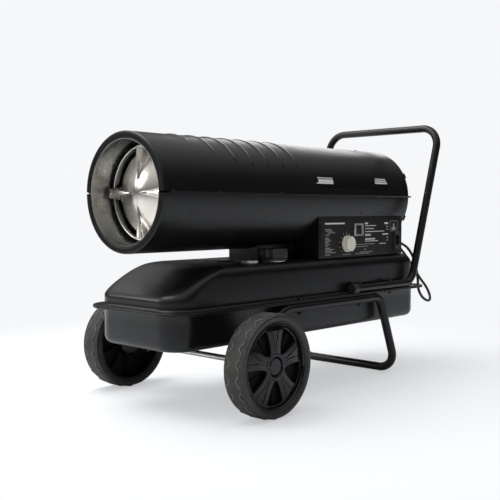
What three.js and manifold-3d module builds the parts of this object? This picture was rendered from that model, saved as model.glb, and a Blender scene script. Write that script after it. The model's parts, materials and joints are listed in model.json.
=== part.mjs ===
// Torpedo-style forced air heater on two wheels. Millimetres, +Z up, air outlet towards -Y.
// The floor is z = 0, and the whole object is centred on x = 0 and y = 0.
import * as THREE from 'three';
import { mergeVertices } from 'three/addons/utils/BufferGeometryUtils.js';
import Module from 'manifold-3d';

const wasm = await Module();
wasm.setup();

// ---------- facets and clearances ----------
const sliver = 0.01; // edges shorter than this close up after a join or a cut
const tubeSides = 8; // facets round a bent tube
const roundSides = 32; // facets round a liner or drum
const shellSides = 40; // facets round the shell's inner face
const seat = 0.3; // gap between a piece and what it sits on
const runningGap = 1; // gap round a piece that turns

// ---------- wheels and axle ----------
const tyreRadius = 101.6;
const tyreWidth = 49;
const tyreDepth = 17;
const wheelTrack = 437.6; // centre to centre
const wheelFaceThickness = 12;
const wheelFaceInset = 8;
const petalDepth = 9; // the leaf pockets stop short of the face's back
const petalCount = 5;
const petalInner = 34;
const petalOuter = 76;
const hubRadius = 27;
const hubBossLength = 42;
const axleRadius = 6;
const axleY = -235.5;
const capRadius = 18;
const capDepth = 9;
const axlePlay = 0.5;
const petalHalfAngle = 25;

// ---------- leg frame ----------
const legTubeRadius = 10;
const legTubeWall = 1.5;
const legRunX = 138;
const legRearBendY = 256;
const legFootX = 155;
const legFootY = 305;
const legFrontBendY = -95;
const legBendRadius = 30;
const footBendRadius = 45;
const frontBendRadius = 50;

// ---------- fuel tank ----------
const tankFlangeZ = 201; // underside of the seam flange
const flangeSheet = 2.85; // folded edge of one half
const flangeHalfWidth = 146;
const flangeFrontY = -409;
const flangeRearY = 472;
const flangeCorner = 62;
const flangeRearCorner = 45;
const tankWall = 1.5;
const tankHalfWidth = 124;
const tankFrontY = -391;
const tankRearY = 452;
const tankCorner = 52;
const tankRearCorner = 45;
const tankTopCorner = 30; // at the plateau, in front
const panDepth = 73;
const panEdgeRadius = 17;
const tankTopZ = 289;
const tankRidgeRadius = 22;
const tankRearStep = 2; // the upper half's rear wall sits this far inside the pan's
const frontSlopeFoot = 21; // the front leans back from this height above the flange
const frontSlopeLength = 120;
const frontBrowLength = 25; // the rounding into the flat top

// ---------- burner shell ----------
const shellRadius = 119;
const shellWall = 1.2;
const shellLength = 824;
const shellRise = 25.2; // shell underside above the tank top
const seamLip = 8;
const seamLipThickness = 2;
const rimInset = 14; // turned-in front rim
const rimThickness = 2;
const ribCount = 7;
const ribFirstY = -300;
const ribPitch = 47.8;
const ribWidth = 9;
const ribHeight = 1.6;
const ribEndAngles = [62, 46, 34.5, 30, 30, 30, 30];

// ---------- parts inside the shell ----------
const linerWall = 0.8;
const linerLength = 560;
const chamberAirGap = 8.7; // inside the liner
const chamberWall = 1;
const bracketHalfWidth = 9;
const chamberSetback = 49;
const chamberFootFront = 8;
const chamberFootRear = 60;
const chamberFootHalf = 6;
const chamberLength = 490;
const burnerHoleRadius = 34;
const domeSetback = 42;
const domeRise = 34;
const domeBodyRadius = 79;
const domeSheet = 1.2;
const domeArmWidth = 20;
const fanRadius = 98;
const fanBlades = 5;
const fanSetback = 150; // fan plane before the shell's rear end
const fanHubRadius = 24;
const fanHubLength = 22;
const shaftRadius = 6;
const motorRadius = 45;
const motorLength = 78;
const pumpRadius = 38;
const pumpLength = 20;
const pumpCoverLength = 14;
const pumpRotorRadius = 24;
const pumpRoomRadius = 28;
const pumpEccentricity = 2;
const shaftPlay = 0.5;
const fanBladeSheet = 1.2;
const fanChord = 56;
const fanPitch = 30;
const bracketSheet = 2;
const bracketHalfAngle = 34;
const bracketEndInset = 14;
const burnerHeadDepth = 14;
const burnerHeadPlate = 2.5;
const electrodeRadius = 3;
const electrodeX = 20;
const photocellRadius = 4;
const adapterRadius = 14;
const adapterLength = 14;
const nozzleRadius = 7;
const hoseRadius = 3.5;
const hoseOffset = 9; // fuel line to the left of the middle, air line to the right
const hoseBend = 14;
const airLineRise = 12; // above the tank top

// ---------- rear guard and front pedestal ----------
const guardInset = 3;
const guardWire = 3;
const guardRings = 3;
const guardHubRadius = 24;
const guardSpokes = 6;
const guardClipAngles = [27, 153, 207, 333];
const pedestalHalfWidth = 45;
const pedestalFrontY = -76;
const pedestalRearY = 45;
const pedestalSheet = 2;

// ---------- side covers and controls ----------
const coverInset = 9; // the side wall inside the shell's widest line
const coverFrontY = 55;
const coverRearY = 395;
const coverSheet = 1.2;
const coverHeight = 94;
const coverFootWidth = 14;
const coverInnerX = 48;
const panelThickness = 0.8;
const panelMargin = 5;
const knobRadius = 19.5;
const knobHeight = 16;
const knobY = 158;
const knobZ = 321;
const stemRadius = 3;
const displayY = 206;
const displayZ = 353;
const displayWidth = 38;
const displayHeight = 30;
const windowWidth = 22;
const switchPlateY = 372;
const switchPlateZ = 324;
const switchPlateWidth = 26;
const switchPlateHeight = 46;
const rockerWidth = 12;
const rockerHeight = 22;
const rockerProud = 3.2;
const rockerDepth = 7;
const rockerTip = 7; // degrees off level at rest
const rockerPlay = 0.8;
const housingWidth = 16;
const housingHeight = 28;
const housingDepth = 16;
const switchPlateThickness = 1.6;
const bezelThickness = 1.8;
const thermostatWidth = 28;
const thermostatDepth = 22;
const stemDepth = 9;
const boardPost = 8;
const boardFrontY = 188;
const boardRearY = 330;
const boardLowZ = 294;
const boardHeight = 44;
const boardSheet = 1.6;
const boardInset = 8;
const relayFirstY = 45; // from the board's front edge
const relayPitch = 35;
const relayHalf = 10;
const relayDepth = 15;
const relayHeight = 22;
const transformerX0 = 38;
const transformerSize = 44;
const transformerLength = 54;
const transformerY = 235;
const transformerHeight = 24;

// ---------- tank fittings ----------
const fillerX = 85;
const fillerY = -70;
const neckRadius = 21;
const neckWall = 1.5;
const neckHeight = 14;
const capOuterRadius = 30;
const capHeight = 26;
const capLobes = 8;
const gaugeX = 88;
const gaugeY = -150;
const gaugeRadius = 19;
const gaugeHeight = 5;
const gaugeWall = 1.5;
const gaugeFloor = 1.2;
const gaugeStemRadius = 6;
const floatPivotDrop = 25;
const forkGap = 3.2;
const forkEar = 2;
const floatPinRadius = 1.5;
const floatArmLength = 78;
const floatRadius = 13;
const floatLength = 30;
const capLobeDepth = 3;
const filterRadius = 13;
const filterHeight = 34;
const drainHeadHeight = 5;
const drainRadius = 8;
const drainY = 330;

// ---------- handle ----------
const handleTubeRadius = 9.5;
const handleTubeWall = 1.5;
const handleRunX = 138;
const handleStartY = 145;
const handleBendY = 399;
const handleTopX = 176;
const handleTopY = 466;
const handleTopZ = 610;
const handleBendRadius = 35;
const handleCornerRadius = 46;
const endCapLength = 18;
const endCapWall = 2.2;

// ---------- frame bolts ----------
const boltRadius = 3;
const boltHeadRadius = 5.5;
const boltHeadHeight = 4;
const boltGap = 0.3;
const frontBoltY = -45;
const midBoltY = 172;
const rearBoltY = 300;

// ---------- power cord ----------
const cordRadius = 3.4;
const cordSides = 8;
const cordEnd = 9; // straight length at each end
const glandX = 58;
const glandZ = 312;
const glandRadius = 8;
const glandLength = 12;
const glandThread = 5;
const plugX = 80;
const plugZ = 312;
const plugLength = 38;
const plugWidth = 17;
const plugHeight = 24;
const bladeLength = 12;
const bladeHeight = 6.4;
const bladeSheet = 1.6;
const bladeSpread = 12.7;
// the free loop behind the tank, from the gland to the parked plug, as it hangs
const cordLoop = [
  [58.1, 439.6, 309.7],
  [59.6, 461.3, 301.3],
  [62.4, 479.5, 286.9],
  [66.1, 494.9, 269.6],
  [70.8, 508.8, 251.3],
  [76.6, 521.2, 232.4],
  [84.6, 531.7, 213],
  [93.4, 543.2, 194.6],
  [105.2, 542.2, 175],
  [116, 527, 161.6],
  [120.9, 504.6, 160.3],
  [117.5, 484.9, 171.6],
  [111.3, 476.8, 192],
  [108, 478.8, 215.1],
  [103.4, 480.3, 238.1],
  [97.3, 480, 260.7],
  [90.9, 475.4, 282.6],
  [84.4, 462.7, 300.9],
];

// ---------- sizes worked out from the ones above ----------
const axleZ = tyreRadius;
const flangeTopZ = tankFlangeZ + 2 * flangeSheet + seat;
const legRunZ = tankFlangeZ - seat - legTubeRadius;
const handleRunZ = flangeTopZ + seat + handleTubeRadius;
const panBottomZ = tankFlangeZ - panDepth;
const shellZ = tankTopZ + shellRise + shellRadius;
const shellFrontY = -shellLength / 2;
const shellRearY = shellLength / 2;
const shellInner = shellRadius - shellWall;
const rimRadius = shellRadius - rimInset;
const linerOuter = rimRadius * Math.cos(Math.PI / shellSides) - seat;
const linerInner = linerOuter - linerWall;
const chamberRadius = linerInner - chamberAirGap;
const chamberInner = chamberRadius - chamberWall;
const chamberFrontY = shellFrontY + chamberSetback;
const chamberRearY = chamberFrontY + chamberLength;
const fanY = shellRearY - fanSetback;
const motorFrontY = fanY + fanHubLength / 2 + 6;
const motorRearY = motorFrontY + motorLength;
const pumpRearY = motorRearY + seat + pumpLength;
const coverX = shellRadius - coverInset;
const thermostatFront = coverX - coverSheet - seat;
const burnerRearY = chamberRearY + seat + burnerHeadPlate + seat + adapterLength;
const fuelRiseY = burnerRearY + seat + hoseBend + 2;
const airRiseY = fuelRiseY + 4;
const objectRearY = handleTopY + handleTubeRadius;
const centreY = -(shellFrontY + objectRearY) / 2;
const cordStep = 5 * cordRadius;

// ---------- solids ----------
const group = new THREE.Group();
group.position.set(0, centreY, 0);

const looks = {
  blackPaint: { color: 0x18191b, roughness: 0.42, metalness: 0.2 },
  glossBlack: { color: 0x0b0b0c, roughness: 0.2, metalness: 0 },
  rubber: { color: 0x2b2a29, roughness: 0.85, metalness: 0 },
  zinc: { color: 0xb5b3a8, roughness: 0.35, metalness: 1 },
  liner: { color: 0x8b8c88, roughness: 0.4, metalness: 1 },
  stainless: { color: 0xc9c0b4, roughness: 0.16, metalness: 1 },
  aluminium: { color: 0xa9abad, roughness: 0.4, metalness: 1 },
  blackPlastic: { color: 0x141415, roughness: 0.5, metalness: 0 },
  cream: { color: 0xe6e2d3, roughness: 0.45, metalness: 0 },
  label: { color: 0x2b2b2a, roughness: 0.5, metalness: 0 },
  glass: { color: 0x1d1f1f, roughness: 0.1, metalness: 0 },
  board: { color: 0x1f4a2c, roughness: 0.6, metalness: 0 },
  brass: { color: 0xb8934a, roughness: 0.35, metalness: 1 },
  hose: { color: 0x1a1a1a, roughness: 0.7, metalness: 0 },
  red: { color: 0xa32018, roughness: 0.5, metalness: 0 },
};

function addPart(name, geometry, look) {
  const mesh = new THREE.Mesh(geometry, new THREE.MeshStandardMaterial(looks[look]));
  mesh.name = name;
  group.add(mesh);
  return mesh;
}

function toSolid(geometry) {
  const plain = geometry.index ? geometry.toNonIndexed() : geometry.clone();
  plain.deleteAttribute('normal');
  plain.deleteAttribute('uv');
  const merged = mergeVertices(plain, 1e-4);
  const vertProperties = new Float32Array(merged.attributes.position.array);
  const triVerts = new Uint32Array(merged.index.array);
  return new wasm.Manifold(new wasm.Mesh({ numProp: 3, vertProperties, triVerts }));
}

function toGeometry(solid) {
  const mesh = solid.asOriginal().simplify(sliver).getMesh();
  const geometry = new THREE.BufferGeometry();
  geometry.setAttribute('position', new THREE.BufferAttribute(new Float32Array(mesh.vertProperties), 3));
  geometry.setIndex(new THREE.BufferAttribute(new Uint32Array(mesh.triVerts), 1));
  return geometry;
}

const join = (...geometries) => toGeometry(geometries.map(toSolid).reduce((a, b) => a.add(b)));
const cut = (geometry, ...tools) => toGeometry(tools.map(toSolid).reduce((a, b) => a.subtract(b), toSolid(geometry)));

// A box from its low corner to its high corner.
function block(x0, x1, y0, y1, z0, z1) {
  return new THREE.BoxGeometry(x1 - x0, y1 - y0, z1 - z0).translate((x0 + x1) / 2, (y0 + y1) / 2, (z0 + z1) / 2);
}

// A rod between two coordinates along an axis.
function rod(axis, radius, from, to, a, b, sides = 10) {
  const geometry = new THREE.CylinderGeometry(radius, radius, to - from, sides);
  const middle = (from + to) / 2;
  if (axis === 'x') return geometry.rotateZ(-Math.PI / 2).translate(middle, a, b);
  if (axis === 'y') return geometry.translate(a, middle, b);
  return geometry.rotateX(Math.PI / 2).translate(a, b, middle);
}

// A turned solid about the shell's axis: points are [radius, y], and the outline closes on itself.
function turnedOnShell(points, sides) {
  const profile = points.map(([radius, y]) => new THREE.Vector2(radius, y));
  profile.push(profile[0].clone());
  return new THREE.LatheGeometry(profile, sides).translate(0, 0, shellZ);
}

function tubeOnShell(outer, inner, y0, y1, sides) {
  return turnedOnShell([[inner, y0], [outer, y0], [outer, y1], [inner, y1]], sides);
}

// How far out a flat-ended arm reaches inside a faceted round wall, with the seat gap at its corners.
function armReach(wallRadius, sides, armHalfWidth) {
  return Math.sqrt(within(wallRadius, sides) ** 2 - armHalfWidth ** 2);
}

// The largest radius that seats inside a faceted round wall.
function within(wallRadius, sides) {
  return wallRadius * Math.cos(Math.PI / sides) - seat;
}

function shapeFrom(points) {
  return new THREE.Shape(points.map(([x, y]) => new THREE.Vector2(x, y)));
}

function arcPoints(radius, fromDegrees, toDegrees, steps) {
  return Array.from({ length: steps + 1 }, (_, i) => {
    const angle = THREE.MathUtils.degToRad(fromDegrees + ((toDegrees - fromDegrees) * i) / steps);
    return [radius * Math.cos(angle), radius * Math.sin(angle)];
  });
}

// A line through corner points with a round bend at each inner corner.
function bentLine(corners, radii, stepDegrees) {
  const line = [corners[0].clone()];
  for (let i = 1; i < corners.length - 1; i += 1) {
    const back = corners[i - 1].clone().sub(corners[i]).normalize();
    const ahead = corners[i + 1].clone().sub(corners[i]).normalize();
    const angle = back.angleTo(ahead);
    const reach = radii[i - 1] / Math.tan(angle / 2);
    const centreDirection = back.clone().add(ahead).normalize();
    const centre = corners[i].clone().addScaledVector(centreDirection, radii[i - 1] / Math.sin(angle / 2));
    const from = corners[i].clone().addScaledVector(back, reach).sub(centre);
    const axis = back.clone().cross(ahead).normalize().negate();
    const turn = Math.PI - angle;
    const steps = Math.max(2, Math.round(THREE.MathUtils.radToDeg(turn) / stepDegrees));
    for (let k = 0; k <= steps; k += 1) {
      const ring = from.clone().applyAxisAngle(axis, (turn * k) / steps).add(centre);
      ring.heading = back.clone().negate().applyAxisAngle(axis, (turn * k) / steps);
      line.push(ring);
    }
  }
  line.push(corners[corners.length - 1].clone());
  return line;
}

// A curve whose even steps are the given points, so a swept section has one ring at each of them.
class RingCurve extends THREE.Curve {
  constructor(points) {
    super();
    this.points = points;
  }

  getPointAt(u) {
    return this.points[Math.round(u * (this.points.length - 1))].clone();
  }

  getTangentAt(u) {
    const i = Math.round(u * (this.points.length - 1));
    const before = this.points[Math.max(0, i - 1)];
    const after = this.points[Math.min(this.points.length - 1, i + 1)];
    const here = this.points[i];
    if (here.heading) return here.heading.clone();
    const incoming = here.clone().sub(before).normalize();
    const outgoing = after.clone().sub(here).normalize();
    return incoming.add(outgoing).normalize();
  }
}

function sweep(points, radius, innerRadius, sides) {
  const half = 180 / sides;
  const shape = shapeFrom(arcPoints(radius, half, 360 - half, sides - 1));
  if (innerRadius > 0) {
    const bore = arcPoints(innerRadius, half, 360 - half, sides - 1).reverse();
    shape.holes.push(new THREE.Path(bore.map(([x, y]) => new THREE.Vector2(x, y))));
  }
  const curve = new RingCurve(points);
  return new THREE.ExtrudeGeometry(shape, { steps: points.length - 1, extrudePath: curve, bevelEnabled: false });
}

// A smooth line through hand-picked points, sampled about every step.
function smoothLine(points, step) {
  const curve = new THREE.CatmullRomCurve3(points, false, 'centripetal');
  return curve.getSpacedPoints(Math.round(curve.getLength() / step));
}

// One ring of a rounded rectangle at height z: half width, front and rear y, and rear and front corner radius.
function ringAt(z, halfWidth, frontY, rearY, rear, front) {
  const ring = [];
  const corners = [[1, rearY, rear, 0], [-1, rearY, rear, 90], [-1, frontY, front, 180], [1, frontY, front, 270]];
  for (const [side, edgeY, radius, start] of corners) {
    const cx = side * (halfWidth - radius);
    const cy = edgeY - Math.sign(edgeY) * radius;
    for (const [dx, dy] of arcPoints(radius, start, start + 90, 5)) {
      ring.push(new THREE.Vector3(cx + dx, cy + dy, z));
    }
  }
  return ring;
}

// A closed skin over rings in order, each with as many points. The last ring meets the first if closed is set.
function skin(rings, closed) {
  const count = rings[0].length;
  const positions = rings.flat().flatMap((p) => [p.x, p.y, p.z]);
  const index = [];
  const last = closed ? rings.length : rings.length - 1;
  for (let r = 0; r < last; r += 1) {
    const a = r * count;
    const b = ((r + 1) % rings.length) * count;
    for (let i = 0; i < count; i += 1) {
      const j = (i + 1) % count;
      index.push(a + i, a + j, b + j, a + i, b + j, b + i);
    }
  }
  if (!closed) {
    for (const [ring, flip] of [[0, true], [rings.length - 1, false]]) {
      const flat = rings[ring].map((p) => new THREE.Vector2(p.x, p.y));
      for (const [i, j, k] of THREE.ShapeUtils.triangulateShape(flat, [])) {
        const base = ring * count;
        if (flip) index.push(base + i, base + k, base + j);
        else index.push(base + i, base + j, base + k);
      }
    }
  }
  const geometry = new THREE.BufferGeometry();
  geometry.setAttribute('position', new THREE.Float32BufferAttribute(positions, 3));
  geometry.setIndex(index);
  return geometry;
}

// ---------- burner shell ----------
function halfShell(upper) {
  const sign = upper ? 1 : -1;
  const lipAngle = THREE.MathUtils.radToDeg(Math.asin((seat / 2) / shellRadius));
  const outer = arcPoints(shellRadius, lipAngle, 180 - lipAngle, shellSides / 2);
  const inner = arcPoints(shellInner, 180 - lipAngle, lipAngle, shellSides / 2);
  const outline = [...outer, ...inner].map(([x, z]) => [x, sign * z]);
  const wall = alongShell(outline, shellFrontY, shellRearY);
  const rimOutline = [...arcPoints(shellRadius - shellWall / 2, lipAngle, 180 - lipAngle, shellSides / 2),
    ...arcPoints(rimRadius, 180 - lipAngle, lipAngle, shellSides / 2)].map(([x, z]) => [x, sign * z]);
  const rim = alongShell(rimOutline, shellFrontY, shellFrontY + rimThickness);
  const lipZ = seat / 2;
  const lips = [-1, 1].map((side) => {
    const x0 = side * (shellInner + shellWall / 2);
    const x1 = side * (shellRadius + seamLip);
    const low = shellZ + Math.min(sign * lipZ, sign * (lipZ + seamLipThickness));
    return block(Math.min(x0, x1), Math.max(x0, x1), shellFrontY, shellRearY, low, low + seamLipThickness);
  });
  const ribs = upper ? shellRibs() : [];
  return join(wall, rim, ...lips, ...ribs);
}

// An outline of [x, height above the shell's axis] drawn out along Y.
function alongShell(outline, y0, y1) {
  const geometry = new THREE.ExtrudeGeometry(shapeFrom(outline), { depth: y1 - y0, bevelEnabled: false });
  return geometry.rotateX(Math.PI / 2).translate(0, y1, shellZ);
}

function shellRibs() {
  return Array.from({ length: ribCount }, (_, i) => {
    const end = ribEndAngles[i];
    const steps = Math.round((180 - 2 * end) / 12);
    const outline = [...arcPoints(shellRadius + ribHeight, end, 180 - end, steps),
      ...arcPoints(shellRadius - shellWall / 2, 180 - end, end, steps)];
    const middle = ribFirstY + i * ribPitch;
    return alongShell(outline, middle - ribWidth / 2, middle + ribWidth / 2);
  });
}

function addShell() {
  addPart('upper_shell', halfShell(true), 'blackPaint');
  addPart('lower_shell', cut(halfShell(false), ...shellHoseHoles()), 'blackPaint');
}

// ---------- outlet: liner, combustion chamber and nose dome ----------
function addOutlet() {
  const linerFront = shellFrontY + rimThickness / 2;
  const liner = tubeOnShell(linerOuter, linerInner, linerFront, linerFront + linerLength, roundSides);
  // four feet stand the liner off the shell's inner face, past the rim
  const feet = [45, 135, 225, 315].map((degrees) => {
    const reach = armReach(shellInner, shellSides, bracketHalfWidth);
    const foot = block(linerOuter - linerWall, reach, -8, 8, -bracketHalfWidth, bracketHalfWidth);
    return foot.rotateY(-THREE.MathUtils.degToRad(degrees)).translate(0, linerFront + linerLength - 20, shellZ);
  });
  addPart('outlet_liner', join(liner, ...feet), 'liner');

  const rear = chamberRearY;
  const body = turnedOnShell([[chamberInner, chamberFrontY], [chamberRadius, chamberFrontY], [chamberRadius, rear],
    [burnerHoleRadius, rear], [burnerHoleRadius, rear - chamberWall], [chamberInner, rear - chamberWall]], roundSides);
  const brackets = [];
  for (const y of [chamberFrontY + chamberFootFront, rear - chamberFootRear]) {
    for (const degrees of [0, 90, 180, 270]) {
      const reach = armReach(linerInner, roundSides, bracketHalfWidth);
      const arm = block(chamberRadius - chamberWall, reach, -chamberFootHalf, chamberFootHalf, -bracketHalfWidth,
        bracketHalfWidth);
      brackets.push(arm.rotateY(-THREE.MathUtils.degToRad(degrees)).translate(0, y, shellZ));
    }
  }
  addPart('combustion_chamber', join(body, ...brackets), 'liner');
  addPart('nose_dome', noseDome(), 'stainless');
}

// A pressed star: four arms reach the chamber's wall, and the body falls back between them.
function noseDome() {
  const apexY = shellFrontY + domeSetback;
  const reachOut = within(chamberInner, roundSides);
  const turns = roundSides;
  const levels = 4;
  const frontRings = [];
  const backRings = [];
  for (let level = 1; level <= levels; level += 1) {
    const share = level / levels;
    const front = [];
    const back = [];
    for (let i = 0; i < turns; i += 1) {
      const angle = (i / turns) * 2 * Math.PI;
      const nearest = Math.abs(((angle / (Math.PI / 2)) % 1) - 0.5) * 2;
      const across = (1 - nearest) * (Math.PI / 4) * reachOut;
      const onArm = across < domeArmWidth / 2;
      const reach = onArm ? reachOut : domeBodyRadius;
      const radius = share * reach;
      const fall = onArm ? 0.28 : 1;
      const y = apexY + domeRise * fall * share ** 1.7;
      front.push(new THREE.Vector3(radius * Math.cos(angle), y, shellZ + radius * Math.sin(angle)));
      back.push(new THREE.Vector3(radius * Math.cos(angle), y + domeSheet, shellZ + radius * Math.sin(angle)));
    }
    frontRings.push(front);
    backRings.push(back);
  }
  return closedDisc(frontRings, backRings, apexY, apexY + domeSheet);
}

// A thin pressed disc from rings of its front and back faces, each with a point at the middle.
function closedDisc(frontRings, backRings, frontY, backY) {
  const count = frontRings[0].length;
  const levels = frontRings.length;
  const points = [...frontRings.flat(), ...backRings.flat()];
  points.push(new THREE.Vector3(0, frontY, shellZ), new THREE.Vector3(0, backY, shellZ));
  const frontMiddle = points.length - 2;
  const backMiddle = points.length - 1;
  const index = [];
  const at = (side, level, i) => (side * levels + level) * count + (i % count);
  for (let i = 0; i < count; i += 1) {
    index.push(frontMiddle, at(0, 0, i), at(0, 0, i + 1));
    index.push(backMiddle, at(1, 0, i + 1), at(1, 0, i));
    for (let level = 0; level < levels - 1; level += 1) {
      const quad = [at(0, level, i), at(0, level, i + 1), at(0, level + 1, i + 1), at(0, level + 1, i)];
      index.push(quad[0], quad[3], quad[2], quad[0], quad[2], quad[1]);
      const rear = [at(1, level, i), at(1, level, i + 1), at(1, level + 1, i + 1), at(1, level + 1, i)];
      index.push(rear[0], rear[2], rear[3], rear[0], rear[1], rear[2]);
    }
    const rim = [at(0, levels - 1, i), at(0, levels - 1, i + 1), at(1, levels - 1, i + 1), at(1, levels - 1, i)];
    index.push(rim[0], rim[3], rim[2], rim[0], rim[2], rim[1]);
  }
  const geometry = new THREE.BufferGeometry();
  geometry.setAttribute('position', new THREE.Float32BufferAttribute(points.flatMap((p) => [p.x, p.y, p.z]), 3));
  geometry.setIndex(index);
  return geometry;
}

// ---------- burner, fan, motor and air pump ----------
function addBurner() {
  const rear = chamberRearY;
  const headFront = rear - burnerHeadDepth;
  const headRear = rear + seat + burnerHeadPlate;
  const bore = nozzleRadius + seat;
  const neck = burnerHoleRadius - seat;
  const headPlateRadius = burnerHoleRadius + 12;
  const head = turnedOnShell([[bore, headFront], [neck, headFront], [neck, rear + seat],
    [headPlateRadius, rear + seat], [headPlateRadius, headRear], [bore, headRear]], 20);
  const electrodeHole = rod('y', electrodeRadius + seat, headFront - 1, headRear + 1, electrodeX, shellZ);
  const cellHole = rod('y', photocellRadius + seat, headFront - 1, headRear + 1, -electrodeX, shellZ);
  addPart('burner_head', cut(head, electrodeHole, cellHole), 'aluminium');

  const tip = rod('y', nozzleRadius, headFront - 4, headRear + seat + 1, 0, shellZ, 12);
  const adapter = rod('y', adapterRadius, headRear + seat, headRear + seat + adapterLength, 0, shellZ, 12);
  addPart('nozzle', join(tip, adapter), 'brass');

  const wire = rod('y', electrodeRadius, headFront - 10, headRear + 16, electrodeX, shellZ, 8);
  addPart('spark_electrode', wire, 'cream');
  const cell = rod('y', photocellRadius, headFront + 2, headRear + 14, -electrodeX, shellZ, 12);
  addPart('photocell', cell, 'blackPlastic');
}

function fanWheel() {
  const hub = rod('y', fanHubRadius, fanY - fanHubLength / 2, fanY + fanHubLength / 2, 0, shellZ, 20);
  const blades = Array.from({ length: fanBlades }, (_, i) => {
    const from = fanHubRadius - 3;
    const blade = new THREE.BoxGeometry(fanRadius - from, fanBladeSheet, fanChord);
    blade.translate((fanRadius + from) / 2, 0, 0).rotateX(THREE.MathUtils.degToRad(fanPitch));
    return blade.rotateY((i * 2 * Math.PI) / fanBlades).translate(0, fanY, shellZ);
  });
  const bore = rod('y', shaftRadius + seat, fanY - fanHubLength, fanY + fanHubLength, 0, shellZ);
  return cut(join(hub, ...blades), bore);
}

function addMotor() {
  addPart('fan', fanWheel(), 'aluminium');
  const shaft = rod('y', shaftRadius, fanY - fanHubLength / 2 - 4, motorRearY + seat + 2, 0, shellZ);
  const rotorFront = motorRearY + seat + 1;
  const rotor = rod('y', pumpRotorRadius, rotorFront, pumpRearY - 1, 0, shellZ, 20);
  addPart('motor_shaft', join(shaft, rotor), 'zinc');

  const bore = shaftRadius + shaftPlay;
  const neck = motorRadius * 0.45;
  const bell = 10;
  const motor = turnedOnShell([[bore, motorFrontY], [neck, motorFrontY], [motorRadius - 6, motorFrontY + 4],
    [motorRadius, motorFrontY + bell], [motorRadius, motorRearY - bell], [motorRadius - 6, motorRearY],
    [bore, motorRearY]], 24);
  addPart('motor', motor, 'aluminium');

  const pumpFront = motorRearY + seat;
  const drum = rod('y', pumpRadius, pumpFront, pumpRearY, 0, shellZ, 24);
  const room = rod('y', pumpRoomRadius, pumpFront - 1, pumpRearY + 1, 0, shellZ + pumpEccentricity, 24);
  addPart('pump_body', cut(drum, room), 'aluminium');
  const coverRear = pumpRearY + seat + pumpCoverLength;
  const cover = turnedOnShell([[0, pumpRearY + seat], [pumpRadius, pumpRearY + seat], [pumpRadius, coverRear - 5],
    [pumpRadius - 5, coverRear], [pumpRadius - 12, coverRear], [pumpRadius - 12, coverRear - 3], [0, coverRear - 3]], 24);
  addPart('pump_end_cover', cover, 'blackPlastic');
  addPart('motor_bracket', motorBracket(), 'liner');
}

// A folded cradle between the shell's floor and the motor, open along the air's path.
function motorBracket() {
  const floor = within(shellInner, shellSides);
  const cradle = motorRadius + seat;
  const half = bracketHalfAngle;
  const outer = [...arcPoints(floor, -90 - half, -90 + half, 8), ...arcPoints(cradle, -90 + half, -90 - half, 8)];
  const inset = THREE.MathUtils.radToDeg(bracketSheet / cradle);
  const inner = [...arcPoints(floor - bracketSheet, -90 - half + inset, -90 + half - inset, 8),
    ...arcPoints(cradle + bracketSheet, -90 + half - inset, -90 - half + inset, 8)];
  const from = motorFrontY + bracketEndInset;
  const to = motorRearY - bracketEndInset;
  return cut(alongShell(outer, from, to), alongShell(inner, from - 1, to + 1));
}

function addGuard() {
  const outer = within(shellInner, shellSides);
  const rear = shellRearY - guardInset;
  const front = rear - guardWire;
  const rings = Array.from({ length: guardRings }, (_, i) => {
    const radius = outer - (i * (outer - guardHubRadius)) / (guardRings - 1);
    return tubeOnShell(radius, radius - guardWire, front, rear, 16);
  });
  const spokes = Array.from({ length: guardSpokes }, (_, i) => {
    const spoke = block(guardHubRadius - guardWire / 2, outer - guardWire / 2, front, rear, -guardWire / 2, guardWire / 2);
    return spoke.rotateY(((i + 0.5) * 2 * Math.PI) / guardSpokes).translate(0, 0, shellZ);
  });
  const clips = guardClipAngles.map((degrees) => {
    const leg = block(outer - guardWire / 2 - 3, outer - 0.5, rear - 1, shellRearY + seat + 2, -7, 7);
    const hook = block(outer - 4, shellRadius + 2, shellRearY + seat, shellRearY + seat + 2, -7, 7);
    return join(leg, hook).rotateY(-THREE.MathUtils.degToRad(degrees)).translate(0, 0, shellZ);
  });
  addPart('rear_guard', join(...rings, ...spokes, ...clips), 'blackPaint');
}

// ---------- what stands between the tank and the shell ----------
function addPedestal() {
  const top = shellRadius + seat;
  const low = tankTopZ + seat - shellZ;
  const edge = THREE.MathUtils.radToDeg(Math.asin(pedestalHalfWidth / top));
  const saddle = (radius, halfWidth, floor, trim) => [[-halfWidth, floor],
    ...arcPoints(radius, -90 - edge + trim, -90 + edge - trim, 10), [halfWidth, floor]].reverse();
  const trim = THREE.MathUtils.radToDeg(pedestalSheet / top);
  const outer = alongShell(saddle(top, pedestalHalfWidth, low, 0), pedestalFrontY, pedestalRearY);
  const hollow = alongShell(saddle(top + pedestalSheet, pedestalHalfWidth - pedestalSheet, low + pedestalSheet, trim),
    pedestalFrontY + pedestalSheet, pedestalRearY + 1);
  addPart('pedestal', cut(outer, hollow), 'blackPaint');
}

// A folded sheet cover: side wall, foot and two end walls cut to the shell's curve.
function sideCover(side) {
  const low = tankTopZ + seat;
  const high = low + coverHeight;
  const inner = coverX - coverSheet;
  const wall = block(inner, coverX, coverFrontY, coverRearY, low, high);
  const foot = block(coverX - coverFootWidth, coverX, coverFrontY, coverRearY, low, low + coverSheet);
  const ends = [coverFrontY, coverRearY - coverSheet].map((y) => {
    return block(coverInnerX, coverX, y, y + coverSheet, low, high);
  });
  const shell = rod('y', shellRadius + seat, coverFrontY - 1, coverRearY + 1, 0, shellZ, 64);
  const cover = cut(join(wall, foot, ...ends), shell);
  return side > 0 ? cover : mirrored(cover);
}

function mirrored(geometry) {
  const copy = toSolid(geometry).mirror([1, 0, 0]);
  return toGeometry(copy);
}

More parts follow.
